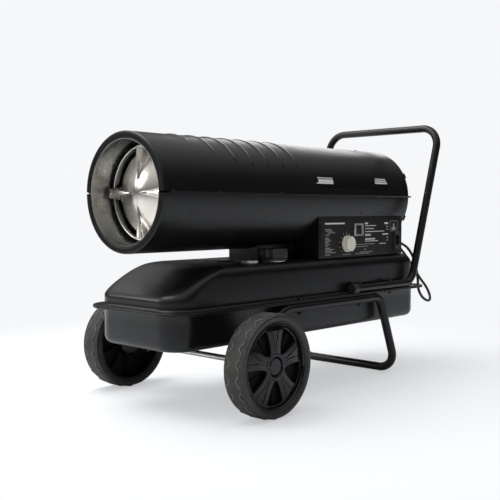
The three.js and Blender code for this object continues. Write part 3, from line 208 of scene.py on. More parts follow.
slotFinish = {
    "black_paint": "satinBlack", "gloss_black": "rimBlack", "tyre_rubber": "tyreRubber", "zinc": "zincPlate",
    "galvanised": "galvanised", "stainless": "stainless", "cast_aluminium": "castAlloy",
    "black_plastic": "mouldedBlack", "cream_plastic": "creamPlastic", "panel_label": "labelFilm",
    "dark_glass": "darkGlass", "clear_lens": "clearLens", "circuit_board": "boardGreen", "brass": "brass",
    "hose": "cordJacket", "red_paint": "redPaint",
}
finishSlot = {finish: slot for slot, finish in slotFinish.items()}
finishSlot.update({"labelPrint": "panel_label", "whitePrint": "panel_label", "labelGloss": "panel_label",
                   "pocketBlack": "gloss_black", "tyreBead": "tyre_rubber"})
nodeSlot = {part["node"]: part["material_slot"] for part in frame["record"]["subparts"]}
for name, obj in frame["nodes"].items():
    finish = finishes[slotFinish[nodeSlot[name]]]
    for slot in obj.material_slots:
        slot.material = finish
print("finishes made")


# a mesh, or several joined, as one piece that rides on a body and may stand for nodes
def newPiece(name, mesh, finish, body="heater", replaces=(), smooth=32):
    if isinstance(mesh, list):
        mesh = joinMeshes(mesh)
    mesh.name = name
    mesh.materials.clear()
    mesh.materials.append(finishes[finish])
    mesh.shade_smooth()
    mesh.set_sharp_from_angle(angle=radians(smooth))
    obj = addObject(name, mesh)
    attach(obj, body)
    if replaces:
        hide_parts(*replaces)
    return obj


# a mesh over rings of equal length
def gridMesh(rings, closeRows=False, closeCols=True, capEnds=False):
    rows, cols = len(rings), len(rings[0])
    faces = []
    for i in range(rows if closeRows else rows - 1):
        for j in range(cols if closeCols else cols - 1):
            a, b = i * cols, (i + 1) % rows * cols
            c, d = j, (j + 1) % cols
            faces.append((a + c, a + d, b + d, b + c))
    if capEnds:
        faces += [tuple(range(cols)), tuple((rows - 1) * cols + i for i in range(cols))]
    mesh = bpy.data.meshes.new("mesh")
    mesh.from_pydata([tuple(p) for ring in rings for p in ring], [], faces)
    bm = bmesh.new()
    bm.from_mesh(mesh)
    bmesh.ops.remove_doubles(bm, verts=bm.verts, dist=1e-6)
    bmesh.ops.recalc_face_normals(bm, faces=bm.faces)
    bm.to_mesh(mesh)
    bm.free()
    return mesh


def joinMeshes(meshes):
    points, faces = [], []
    for mesh in meshes:
        base = len(points)
        points += [v.co.copy() for v in mesh.vertices]
        faces += [tuple(base + i for i in p.vertices) for p in mesh.polygons]
        bpy.data.meshes.remove(mesh)
    joined = bpy.data.meshes.new("mesh")
    joined.from_pydata(points, [], faces)
    return joined


def turnAboutShell(mesh, degrees):
    turn = Matrix.Rotation(-radians(degrees), 4, "Y")
    mesh.transform(Matrix.Translation(at(0, 0, shellAxisZ)) @ turn @ Matrix.Translation(-at(0, 0, 0)))
    return mesh


# profile is (radius, along) in millimetres, turned about an axis through centre
def lathe(profile, centre, steps, axis="y", drop=None):
    rings = []
    for i in range(steps):
        angle = 2 * pi * i / steps
        ring = []
        for radius, along in profile:
            if drop:
                radius -= drop(angle, radius, along)
            c, s = radius * cos(angle), radius * sin(angle)
            offset = (c, along, s) if axis == "y" else (along, c, s)
            ring.append(at(*(a + b for a, b in zip(centre, offset))))
        rings.append(ring)
    return gridMesh(rings, closeRows=True)


# a block between two corners in millimetres with softened edges
def roundedBox(low, high, bevel, segments=2):
    bm = bmesh.new()
    bmesh.ops.create_cube(bm, size=1)
    for v in bm.verts:
        v.co = at(*((a + b) / 2 + c * (b - a) for a, b, c in zip(low, high, v.co)))
    bmesh.ops.bevel(bm, geom=list(bm.edges), offset=bevel * mm, segments=segments, affect="EDGES",
                    profile=0.5)
    mesh = bpy.data.meshes.new("mesh")
    bm.to_mesh(mesh)
    bm.free()
    return mesh


# straight runs with a true arc of each bend radius between them
def bentPath(corners, radii, step=3):
    corners = [Vector(c) for c in corners]
    path = [corners[0]]
    for i, radius in enumerate(radii, 1):
        here = corners[i]
        toBack = (corners[i - 1] - here).normalized()
        toNext = (corners[i + 1] - here).normalized()
        half = toBack.angle(toNext) / 2
        setBack = radius / tan(half)
        start, end = here + toBack * setBack, here + toNext * setBack
        centre = here + (toBack + toNext).normalized() * (radius / sin(half))
        u, v = start - centre, end - centre
        sweepAngle = u.angle(v)
        count = max(4, ceil(sweepAngle * (180 / pi) / step))
        axis = u.cross(v).normalized()
        for k in range(count + 1):
            path.append(centre + Matrix.Rotation(sweepAngle * k / count, 3, axis) @ u)
    path.append(corners[-1])
    return path


# circles carried along a path without twist; the path is in drawing millimetres
def tubeMesh(path, radius, sides, closed=False):
    path = [Vector(p) for p in path]
    turns = [2 * pi * k / sides for k in range(sides)]
    rings, side = [], None
    for i, p in enumerate(path):
        ahead = path[min(i + 1, len(path) - 1)] - path[max(i - 1, 0)]
        ahead.normalize()
        if side is None:
            guide = Vector((0, 0, 1)) if abs(ahead.z) < 0.9 else Vector((1, 0, 0))
            side = ahead.cross(guide).normalized()
        else:
            side = (side - ahead * side.dot(ahead)).normalized()
        up = ahead.cross(side)
        r = radius(i) if callable(radius) else radius
        rings.append([at(*(p + side * (r * cos(t)) + up * (r * sin(t)))) for t in turns])
    return gridMesh(rings, closeRows=closed, capEnds=not closed)


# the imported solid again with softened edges, standing for its node
def refine(node, bevel, segments=2):
    source = frame["nodes"][node]
    mesh = bpy.data.meshes.new("mesh")
    bm = bmesh.new()
    bm.from_mesh(source.data)
    bmesh.ops.remove_doubles(bm, verts=bm.verts, dist=2e-6)
    bmesh.ops.dissolve_limit(bm, angle_limit=radians(0.6), verts=bm.verts, edges=bm.edges)
    bm.to_mesh(mesh)
    bm.free()
    obj = newPiece(node + "_fine", mesh, slotFinish[nodeSlot[node]], source["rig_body"], (node,))
    edge = obj.modifiers.new("edges", "BEVEL")
    edge.width = bevel * mm
    edge.segments = segments
    edge.limit_method = "ANGLE"
    edge.angle_limit = radians(40)
    edge.use_clamp_overlap = True
    return obj


# a domed pan head with a cross recess, its seat at place
def screwMesh(place, normal, radius, height):
    normal = Vector(normal).normalized()
    guide = Vector((0, 0, 1)) if abs(normal.z) < 0.9 else Vector((0, 1, 0))
    side = normal.cross(guide).normalized()
    up = normal.cross(side)
    rings = []
    steps = 24
    for share, lift in ((1, 0), (1, 0.35), (0.94, 0.62), (0.78, 0.86), (0.5, 1), (0.3, 1.02), (0.12, 1.03)):
        ring, r = [], radius * share
        for k in range(steps):
            angle = 2 * pi * k / steps
            cross = abs(cos(2 * angle)) ** 6 if share < 0.6 else 0
            p = Vector(place) + side * (r * cos(angle)) + up * (r * sin(angle))
            ring.append(at(*(p + normal * (height * (lift - 0.45 * cross)))))
        rings.append(ring)
    return gridMesh(rings)


# power cord: it leaves the cover's gland, hangs in one loop and comes back up to its plug
cordLead = {
    "radius": 3.4, "exit": (58, 407.3, 312),
    "route": [(58, 416.3, 312), (58.1, 439.6, 309.7), (59.6, 461.3, 301.3), (62.4, 479.5, 286.9),
              (66.1, 494.9, 269.6), (70.8, 508.8, 251.3), (76.6, 521.2, 232.4), (84.6, 531.7, 213),
              (93.4, 542.3, 194.6), (105.2, 541.4, 175), (116, 527, 161.6), (120.9, 504.6, 160.3),
              (117.5, 484.9, 171.6), (111.3, 476.8, 192), (108, 478.8, 215.1), (103.4, 480.3, 238.1),
              (97.3, 480, 260.7), (90.9, 475.4, 282.6), (84.4, 462.7, 300.9), (80, 442.6, 312)],
    "end": (80, 433.6, 312), "relief": 26, "reliefThick": 3.4, "reliefTaper": 2.6, "reliefRing": 0.35,
}


def blend(p, q, a, b, t):
    return p * ((b - t) / (b - a)) + q * ((t - a) / (b - a))


# centripetal spline through the route's points, sampled evenly
def smoothRoute(points, step):
    points = [Vector(p) for p in points]
    chain = [points[0] * 2 - points[1]] + points + [points[-1] * 2 - points[-2]]
    dense = []
    for i in range(1, len(chain) - 2):
        p0, p1, p2, p3 = chain[i - 1:i + 3]
        t0 = 0
        t1 = t0 + (p1 - p0).length ** 0.5
        t2 = t1 + (p2 - p1).length ** 0.5
        t3 = t2 + (p3 - p2).length ** 0.5
        for k in range(24):
            t = t1 + (t2 - t1) * k / 24
            a1, a2, a3 = blend(p0, p1, t0, t1, t), blend(p1, p2, t1, t2, t), blend(p2, p3, t2, t3, t)
            b1, b2 = blend(a1, a2, t0, t2, t), blend(a2, a3, t1, t3, t)
            dense.append(blend(b1, b2, t1, t2, t))
    dense.append(points[-1])
    total = sum((b - a).length for a, b in zip(dense, dense[1:]))
    count = round(total / step)
    even, walked, target = [dense[0]], 0, total / count
    for a, b in zip(dense, dense[1:]):
        length = (b - a).length
        while walked + length >= target - 1e-9 and len(even) < count:
            even.append(a.lerp(b, (target - walked) / length))
            target += total / count
        walked += length
    even.append(dense[-1])
    return even


def addCord():
    line = [Vector(cordLead["exit"])] + smoothRoute(cordLead["route"], 4) + [Vector(cordLead["end"])]
    mesh = tubeMesh(line, cordLead["radius"], 20)
    cord = newPiece("power_cord_jacket", mesh, "cordJacket", replaces=("power_cord",), smooth=50)
    plug = refine("power_plug", 1.6, 3)
    relief, walked = [line[0]], 0
    for a, b in zip(line, line[1:]):
        walked += (b - a).length
        relief.append(b)
        if walked > cordLead["relief"]:
            break
    last = len(relief) - 1

    def sleeve(i):
        ringed = cordLead["reliefRing"] if i % 2 and 0 < i < last else 0
        return cordLead["radius"] + cordLead["reliefThick"] - cordLead["reliefTaper"] * i / last - ringed

    mesh = tubeMesh(relief, sleeve, 20)
    newPiece("cord_strain_relief", mesh, "mouldedBlack", smooth=25)
    refine("cord_gland", 0.8)


addCord()
print("cord and plug made")

# burner shell: two rolled halves with pressed ribs and a turned-in rim
shell = {
    "radius": 119, "wall": 1.2, "halfLength": 412, "rimRadius": 105, "rimThick": 2, "lip": 8, "lipThick": 2,
    "lipGap": 0.15, "ribFirst": -300, "ribPitch": 47.8, "ribWidth": 10, "ribHeight": 1.6,
    "ribEnds": (62, 46, 34.5, 30, 30, 30, 30), "rimGap": 0.9, "rimGapDepth": 12, "seamGap": 0.09,
    "steps": 120, "seamScrews": (-392, -270, -90, 93, 240, 385), "topScrew": 345,
    "skinScrews": ((215, -20), (290, -20), (-337, -18.5), (-220, -8), (-120, -30)),
}


def ribRise(degrees, y):
    for i, end in enumerate(shell["ribEnds"]):
        away = abs(y - shell["ribFirst"] - i * shell["ribPitch"])
        if away < shell["ribWidth"] / 2:
            inside = min(degrees - end, 180 - end - degrees) / 5
            fade = max(0, min(1, inside + 0.5))
            fade = fade * fade * (3 - 2 * fade)
            return shell["ribHeight"] * fade * cos(pi * away / shell["ribWidth"]) ** 2
    return 0


# cross-section from the rim's inner edge over the skin to the rear hem and back inside
def shellSection(upper):
    radius, half, wall = shell["radius"], shell["halfLength"], shell["wall"]
    inner, thick = shell["rimRadius"], shell["rimThick"]
    points = [(inner, -half + 1.6), (inner + 0.25, -half + 0.5), (inner + 1, -half), (radius - 3, -half)]
    for degrees in (20, 45, 70, 90):
        turn = radians(degrees)
        points.append((radius - 3 + 3 * sin(turn), -half + 3 - 3 * cos(turn)))
    ys = [-401, -399.5, -385, -360, -335]
    for i in range(7):
        middle = shell["ribFirst"] + i * shell["ribPitch"]
        ys += [middle + shell["ribWidth"] / 2 * k / 5 for k in range(-5, 6)] if upper else [middle]
        ys += [middle + 12, middle + 24, middle + 36]
    ys += range(40, 412, 30)
    points += [(radius, y) for y in sorted(set(ys)) if y < half - 4]
    points += [(radius, half - 3), (radius - 0.1, half - 0.6), (radius - 0.6, half),
               (radius - wall, half - 0.3)]
    points += [(radius - wall, 200), (radius - wall, 0), (radius - wall, -200), (radius - wall, -half + 3.2)]
    points += [(radius - wall - 1.5, -half + thick), (inner + 0.5, -half + thick)]
    return points


def halfShellMesh(upper):
    section = shellSection(upper)
    steps = shell["steps"]
    rings = []
    for i in range(steps + 1):
        share = i / steps
        ring = []
        for radius, y in section:
            gap = shell["rimGap"] if y < -shell["halfLength"] + shell["rimGapDepth"] else shell["seamGap"]
            degrees = gap + (180 - 2 * gap) * share
            r = radius + (ribRise(degrees, y) if upper and radius == shell["radius"] else 0)
            ring.append(aroundShell(r, radians(degrees if upper else -degrees), y))
        rings.append(ring)
    return gridMesh(rings, capEnds=True)


def addShell():
    lip, thick, radius, gap = shell["lip"], shell["lipThick"], shell["radius"], shell["lipGap"]
    for upper, name in ((True, "upper_shell"), (False, "lower_shell")):
        meshes = [halfShellMesh(upper)]
        low, high = (gap, gap + thick) if upper else (-gap - thick, -gap)
        for side in (-1, 1):
            x0, x1 = sorted((side * (radius - 0.6), side * (radius + lip)))
            meshes.append(roundedBox((x0, -shell["halfLength"] + 11, shellAxisZ + low),
                                     (x1, shell["halfLength"], shellAxisZ + high), 0.5))
        skin = newPiece(name + "_skin", meshes, "satinBlack", replaces=(name,), smooth=40).data
        skin.materials.append(finishes["hemBlack"])
        for face in skin.polygons:  # the turned-in rim gets a darker, less glossy copy of the skin's paint: painted shade
            out = hypot(face.center.x, face.center.z - shellAxisZ * mm) / mm
            front = face.center.y / mm - midShift < 0.8 - shell["halfLength"]
            face.material_index = int(front and out < radius - 2.4)
    screws = []
    for side in (-1, 1):
        for y in shell["seamScrews"]:
            seat = (side * (radius + 4.2), y, shellAxisZ + 2.1)
            screws.append(screwMesh(seat, (0, 0, 1), 2.6, 1.6))
    for y, degrees in shell["skinScrews"]:
        for side in (1, -1):
            turn = radians(degrees)
            out = (side * cos(turn), 0, sin(turn))
            seat = (out[0] * radius, y, shellAxisZ + out[2] * radius)
            screws.append(screwMesh(seat, out, 2.4, 1.2))
    screws.append(screwMesh((0, shell["topScrew"], shellAxisZ + radius), (0, 0, 1), 4, 2.2))
    newPiece("shell_screws", screws, "mouldedBlack", smooth=40)


# printed film on the near side: y from and to, angle from and to
film = {
    "band": (38, 322, 7.5, 23.5),
    "stripes": [(45, 101, 18.5, 19.5), (47, 101, 13.4, 17.4), (40, 101, 12.3, 13.4),
                (272, 316, 20, 21.2), (270, 318, 17.4, 19), (268, 320, 14.6, 16.6)],
}


def filmMesh(y0, y1, low, high, lift):
    rings, out = [], shell["radius"] + lift
    for k in range(17):
        turn = radians(low + (high - low) * k / 16)
        rings.append([aroundShell(r, turn, y)
                      for y, r in ((y0, out - 0.12), (y0 + 0.1, out), (y1 - 0.1, out), (y1, out - 0.12))])
    return gridMesh(rings, capEnds=True)


def addFilm():
    newPiece("shell_film", filmMesh(*film["band"], 0.12), "labelGloss", smooth=30)
    newPiece("shell_stripes", [filmMesh(*part, 0.2) for part in film["stripes"]], "whitePrint", smooth=30)


addShell()
addFilm()
print("shell made")

# outlet: liner, chamber with a rolled edge, and the pressed star in front of it
outlet = {
    "linerRadius": 104.3, "linerWall": 0.8, "linerFront": -411, "linerLength": 560,
    "chamberRadius": 95, "chamberFront": -363, "chamberRear": 127, "bead": 1.7, "tab": (6, 9),
    "starFront": -378, "starRise": 29, "armBegin": 24, "starArm": 93.2, "starBody": 86, "burnerHole": 34,
}


def addOutlet():
    r, wall = outlet["linerRadius"], outlet["linerWall"]
    front, rear = outlet["linerFront"], outlet["linerFront"] + outlet["linerLength"]
    profile = [(r - wall, front), (r, front), (r, rear), (r - wall, rear)]
    for y, drop in ((-130, 0), (-250, 0), (-300, 0), (-345, 0), (-348.5, 1.1), (-352, 1.1), (-355.5, 0),
                    (-372, 0), (-395, 0)):
        profile.append((r - wall - drop, y))
    liner = lathe(profile, (0, 0, shellAxisZ), 144)
    newPiece("outlet_liner_sheet", liner, "galvanised", replaces=("outlet_liner",))
    c, bead, hole = outlet["chamberRadius"], outlet["bead"], outlet["burnerHole"]
    front, rear = outlet["chamberFront"], outlet["chamberRear"]
    profile = []
    for degrees in range(-60, 241, 30):
        turn = radians(degrees)
        profile.append((c - bead - bead * cos(turn + pi), front + bead - bead * sin(turn)))
    profile += [(c, rear - 3), (c - 0.9, rear - 0.9), (c - 3, rear), (hole, rear), (hole, rear - 1),
                (c - 4, rear - 1), (c - 1, rear - 4), (c - 1, 0), (c - 1, -200), (c - 1, -300),
                (c - 1, front + 2 * bead + 2)]
    meshes = [lathe(profile, (0, 0, shellAxisZ), 144)]
    long, wide = outlet["tab"]
    for y in (front + 8, rear - 60):
        for k in range(4):
            tab = roundedBox((c - 0.8, y - long, -wide), (r - wall - 0.3, y + long, wide), 0.6)
            meshes.append(turnAboutShell(tab, 90 * k))
    newPiece("chamber_drum", meshes, "galvanised", replaces=("combustion_chamber",))


# four wedge-shaped arms stay forward and reach the chamber; the dome between them falls back in sharp creases
def starPoint(share, angle):
    off = (angle + pi / 4) % (pi / 2) - pi / 4
    tip = 1 - max(0, min(1, (abs(off) * outlet["starArm"] - 10) / 4))
    radius = share * (outlet["starBody"] + (outlet["starArm"] - outlet["starBody"]) * tip)
    across = radius * sin(abs(off))
    begin = outlet["armBegin"] / outlet["starBody"]
    dome = outlet["starRise"] * share ** 1.8
    if share <= begin:
        return radius, outlet["starFront"] + dome
    along = (share - begin) / (1 - begin)
    width = 0.6 + 9 * along
    away = max(0, min(1, (across - width) / (1.5 + 6 * along)))
    away = sin(away * pi / 2)
    start = outlet["starRise"] * begin ** 1.8
    arm = start + 2.2 * along - 0.9 * exp(-(across / (0.35 * width + 0.5)) ** 2) * min(1, 4 * along)
    return radius, outlet["starFront"] + arm + (dome - arm) * away


def addStar():
    steps, levels, sheet, hem = 360, 34, 1.0, 1.8
    front, back = [], []
    for k in range(levels + 1):
        rowFront, rowBack = [], []
        for i in range(steps):
            angle = 2 * pi * i / steps
            radius, y = starPoint(max(0.004, k / levels), angle)
            if k == levels:
                y += hem  # the edge turns back
            rowFront.append(aroundShell(radius, angle, y))
            rowBack.append(aroundShell(radius * 0.994, angle, y + sheet))
        front.append(rowFront)
        back.append(rowBack)
    meshes = [gridMesh(front + back[::-1], capEnds=True)]
    tipY = outlet["starFront"] + 5.2
    for k in range(4):  # each arm's end folds back into the chamber
        strap = roundedBox((91.4, tipY - 0.6, -8), (92.6, outlet["chamberFront"] + 9, 8), 0.4)
        meshes.append(turnAboutShell(strap, 90 * k))
    newPiece("nose_star", meshes, "stainless", replaces=("nose_dome",), smooth=60)
    studs = []
    for k in range(4):
        seat = polar(outlet["starArm"] - 6, k * pi / 2, tipY - 1.2)
        studs.append(screwMesh(seat, (0, -1, 0), 2.4, 1.4))
    newPiece("star_rivets", studs, "stainless")


addOutlet()
addStar()
for node in ("burner_head", "nozzle", "spark_electrode", "photocell"):
    refine(node, 0.5)
print("outlet made")

# fan, motor and air pump behind the rear guard
guard = {"rear": 409, "radii": (115.4, 92.5, 69.5, 46.5, 24), "wire": 1.5, "spokes": 6, "hub": 24,
         "clips": (27, 153, 207, 333)}


def addGuard():
    meshes, y = [], guard["rear"] - guard["wire"]
    for radius in guard["radii"]:
        circle = [polar(radius, 2 * pi * k / 120, y) for k in range(120)]
        meshes.append(tubeMesh(circle, guard["wire"], 10, closed=True))
    for k in range(guard["spokes"]):
        turn = (k + 0.5) * 2 * pi / guard["spokes"]
        ends = [polar(r, turn, y) for r in (guard["hub"], guard["radii"][0])]
        meshes.append(tubeMesh(ends, guard["wire"], 10))
    for degrees in guard["clips"]:
        for low, high in (((111, 408, -7), (117.3, 414.3, 7)), ((114, 412.3, -7), (121, 414.3, 7))):
            meshes.append(turnAboutShell(roundedBox(low, high, 0.6), degrees))
    newPiece("guard_wires", meshes, "satinBlack", replaces=("rear_guard",), smooth=50)


# twisted blades on a hub
fan = {"y": 262, "blades": 5, "hub": [(6.3, -11), (22, -11), (24, -9), (24, 9), (22, 11), (6.3, 11)],
       "root": 22, "tip": 97, "limit": 97.5, "pitch": 34, "twist": 12, "chord": 46, "belly": 10, "camber": 3,
       "sheet": 1.2}


def addFan():
    meshes = [lathe(fan["hub"], (0, fan["y"], shellAxisZ), 60)]
    for i in range(fan["blades"]):
        base = 2 * pi * i / fan["blades"]
        c, s = cos(base), sin(base)
        rows = []
        for k in range(15):
            radius = fan["root"] + (fan["tip"] - fan["root"]) * k / 14
            pitch = radians(fan["pitch"] - fan["twist"] * k / 14)
            chord = fan["chord"] + fan["belly"] * sin(pi * k / 14)
            row = []
            for j, face in [(j, 1) for j in range(13)] + [(j, -1) for j in range(12, -1, -1)]:
                u = (j / 12 - 0.5) * chord
                off = fan["camber"] * (1 - (2 * j / 12 - 1) ** 2) + face * fan["sheet"] / 2
                along = u * sin(pitch) + off * cos(pitch)
                across = u * cos(pitch) - off * sin(pitch)
                reach = min(radius, fan["limit"]) ** 2 - min(across * across, radius * radius * 0.6)
                out = sqrt(max(1, reach))
                row.append(at(out * c - across * s, fan["y"] + along, shellAxisZ + out * s + across * c))
            rows.append(row)
        meshes.append(gridMesh(rows, capEnds=True))
    newPiece("fan_wheel", meshes, "castAlloy", "fan_rotor", ("fan",))


addGuard()
addFan()
for node in ("motor", "pump_body", "pump_end_cover", "motor_bracket", "motor_shaft"):
    refine(node, 0.7)
print("fan side made")

# fuel tank: pressed upper half and pan with a rolled flange
tank = {
    "flangeZ": 201, "flangeTop": 207, "flange": (146, -409, 472, 45, 62), "seam": 203.85,
    "wall": (124, -391, 452, 45, 52), "panBottom": 128, "panEdge": 17, "top": 289, "topCorner": 30,
    "ridge": 22, "rearStep": 2, "slopeFoot": 21, "slope": 120, "brow": 25, "sheet": 1.2,
    "ribsX": (-62, -22, 18), "ribsY": -150, "ribSize": (13, 50),
}


# a rounded rectangle at one height: half width, front and rear edge, rear and front corner radius
def roundRect(z, half, front, rear, rearCorner, frontCorner, steps=14):
    ring = []
    for sx, edge, corner, start in ((1, rear, rearCorner, 0), (-1, rear, rearCorner, 90),
                                    (-1, front, frontCorner, 180), (1, front, frontCorner, 270)):
        cx, cy = sx * (half - corner), edge - copysign(corner, edge)
        for k in range(steps + 1):
            turn = radians(start + 90 * k / steps)
            ring.append(at(cx + corner * cos(turn), cy + corner * sin(turn), z))
    return ring


def upperRing(z):
    half, front, rear, rearCorner, frontCorner = tank["wall"]
    share = max(0, min(1, (z - tank["flangeTop"]) / (tank["top"] - tank["flangeTop"])))
    foot = tank["flangeTop"] + tank["slopeFoot"]
    lean = max(0, min(1, (z - foot) / (tank["top"] - foot)))
    slope = tank["slope"] * lean ** 1.35 + tank["brow"] * lean ** 30
    above = max(0, z - (tank["top"] - tank["ridge"]))
    roll = tank["ridge"] - sqrt(max(0, tank["ridge"] ** 2 - above ** 2))
    return (half - 1.5 * share - roll, front + slope, rear - tank["rearStep"] - roll, rearCorner,
            frontCorner + (tank["topCorner"] - frontCorner) * lean)


def grown(size, by):
    half, front, rear, rearCorner, frontCorner = size
    return half + by, front - by, rear + by, rearCorner + by, frontCorner + by


# rounded rectangles, each from a height, a size and how much larger it gets
def rects(*stations):
    return [roundRect(z, *grown(size, by)) for z, size, by in stations]


# heights on the upper half's rolled ridge at some angles
def ridgeHeights(angles):
    return [tank["top"] - tank["ridge"] + tank["ridge"] * sin(radians(a)) for a in angles]


def addTank():
    flange, wall, sheet = tank["flange"], tank["wall"], tank["sheet"]
    seam, top = tank["seam"] + 0.3, tank["flangeTop"]
    foot, ridgeZ = upperRing(top), tank["top"] - tank["ridge"]
    # inside first, from the top down, then out round the flange and up
    rings = rects(*((z - sheet, upperRing(z), -sheet) for z in ridgeHeights((90, 75, 60, 45, 30, 15, 0))))
    rings += rects(*((z, upperRing(z), -sheet) for z in (250, 232, 215)))
    rings += rects((seam, foot, -sheet), (seam, flange, -0.9), (seam + 0.5, flange, -0.2),
                   (seam + 1.3, flange, 0), (top - 0.6, flange, -0.3), (top, flange, -1.3),
                   (top - 0.25, flange, -4), (top - 0.25, foot, 4.5), (top + 1.1, foot, 1.4))
    heights = [top + 4 + (ridgeZ - top - 4) * k / 10 for k in range(11)]
    heights += ridgeHeights((8, 16, 24, 32, 40, 48, 56, 64, 72, 79, 85, 90))
    rings += rects(*((z, upperRing(z), 0) for z in heights))
    meshes = [gridMesh(rings, capEnds=True)]
    for x in tank["ribsX"]:  # pressed ribs under the outlet
        meshes.append(pressedOblong(x, tank["ribsY"], *tank["ribSize"], tank["top"]))
    newPiece("tank_upper_pressing", meshes, "satinBlack", replaces=("tank_upper",), smooth=50)

    low, bottom, edge = tank["flangeZ"], tank["panBottom"], tank["panEdge"]
    turns = [radians(a) for a in range(90, -1, -10)]
    rings = rects(*((bottom + edge * (1 - sin(t)), wall, -edge * (1 - cos(t))) for t in turns))
    rings += rects((160, wall, 0), (180, wall, 0), (196.5, wall, 0), (low - 1, wall, 1.2), (low, wall, 4),
                   (low, flange, -4), (low, flange, -1.3), (low + 0.5, flange, -0.3), (low + 1.5, flange, 0),
                   (low + 2.4, flange, -0.2), (tank["seam"], flange, -0.9), (tank["seam"], wall, -sheet),
                   (165, wall, -sheet))
    edge -= sheet  # inside, back down to the bottom
    turns = [radians(a) for a in range(0, 91, 15)]
    rings += rects(*((bottom + sheet + edge * (1 - sin(t)), wall, -sheet - edge * (1 - cos(t)))
                     for t in turns))
    newPiece("tank_pan", gridMesh(rings, capEnds=True), "satinBlack", replaces=("tank_lower",), smooth=50)


# a long pressed rib with round ends on a flat sheet
def pressedOblong(x, y, width, length, z):
    rings = []
    for inset, lift in ((0, -0.3), (0.4, 0.1), (1.4, 1.1), (2.8, 1.9), (4.4, 2.2)):
        ring = []
        r = width / 2 - inset
        for start, cy in ((0, y + length / 2 - width / 2), (180, y - length / 2 + width / 2)):
            for k in range(13):
                turn = radians(start + 15 * k)
                ring.append(at(x + r * cos(turn), cy + r * sin(turn), z + lift))
        rings.append(ring)
    return gridMesh(rings, capEnds=True)


addTank()
refine("drain_plug", 0.6)
refine("pedestal", 0.8, 3)
print("tank made")

# filler cap and gauge
filler = {"place": (85, -70), "low": 291.1, "radius": 30, "height": 26, "lobes": 8, "depth": 3.2,
          "grips": 96, "gripDepth": 0.22}


def addFiller():
    x, y = filler["place"]
    low, r, h = filler["low"], filler["radius"], filler["height"]
    refine("filler_neck", 0.3)
    steps, rings = 192, []
    profile = [(22.2, 0.3), (r - 1.4, 0.2), (r - 0.2, 1), (r, 2.2), (r - 0.3, 3.6), (r - 1.2, 4.6), (r, 5.6),
               (r, h - 5), (r - 0.6, h - 3), (r - 2.2, h - 1.3), (r - 4.6, h - 0.4), (r - 7, h - 0.2),
               (r - 8.4, h - 1.4), (r - 11, h - 1.6), (6, h - 1.4), (0.5, h - 1.2)]
    for i in range(steps):
        angle = 2 * pi * i / steps
        lobe = 0.5 - 0.5 * tanh(3.2 * cos(filler["lobes"] * angle))
        ring = []
        for j, (radius, z) in enumerate(profile):
            bite = filler["depth"] * lobe if 5 <= j <= 11 else 0
            if 6 <= j <= 8:
                grip = 0.5 + 0.5 * cos(filler["grips"] * angle)  # fine lines on each lobe
                bite += filler["gripDepth"] * grip * (1 - lobe)
            ring.append(at(x + (radius - bite) * cos(angle), y + (radius - bite) * sin(angle), low + z))
        rings.append(ring)
    mesh = gridMesh(rings, closeRows=True, closeCols=False)
    newPiece("fuel_cap_moulding", mesh, "mouldedBlack", "cap", ("fuel_cap",), smooth=40)


gauge = {"centre": (88, -150, 290.62), "marks": 7, "sweep": 90, "long": 11.2, "short": 12.8, "edge": 15.2}


def addGauge():
    refine("gauge_body", 0.5)
    refine("gauge_needle", 0.15)
    refine("gauge_lens", 0.3)
    marks = []
    for k in range(gauge["marks"]):
        turn = radians(gauge["sweep"] * k / (gauge["marks"] - 1))
        begin = gauge["short"] if k % 3 else gauge["long"]
        mark = roundedBox((begin, -0.4 - midShift, 0), (gauge["edge"], 0.4 - midShift, 0.12), 0.03, 1)
        mark.transform(Matrix.Translation(at(*gauge["centre"])) @ Matrix.Rotation(turn, 4, "Z"))
        marks.append(mark)
    newPiece("gauge_marks", marks, "mouldedBlack")


addFiller()
addGauge()
print("tank fittings made")

# covers, panel and controls
panel = {"face": 111.1, "print": (-0.05, 0.12), "knob": (158, 321), "ticks": 11, "tickStart": -45,
         "tickStep": 27, "tickFrom": 22.5, "tickTo": 26.5, "switchScrews": (372, (342.5, 305.5)),
         "coverScrews": (110.3, (57.6, 392.4), (296, 372))}


def addCovers():
    for node, bevel in (("control_cover", 0.5), ("far_cover", 0.5), ("control_panel", 0.25),
                        ("display_frame", 0.5), ("display_window", 0.3), ("switch_housing", 0.6),
                        ("thermostat", 0.6), ("thermostat_knob", 0.6), ("power_switch", 0.4)):
        refine(node, bevel)


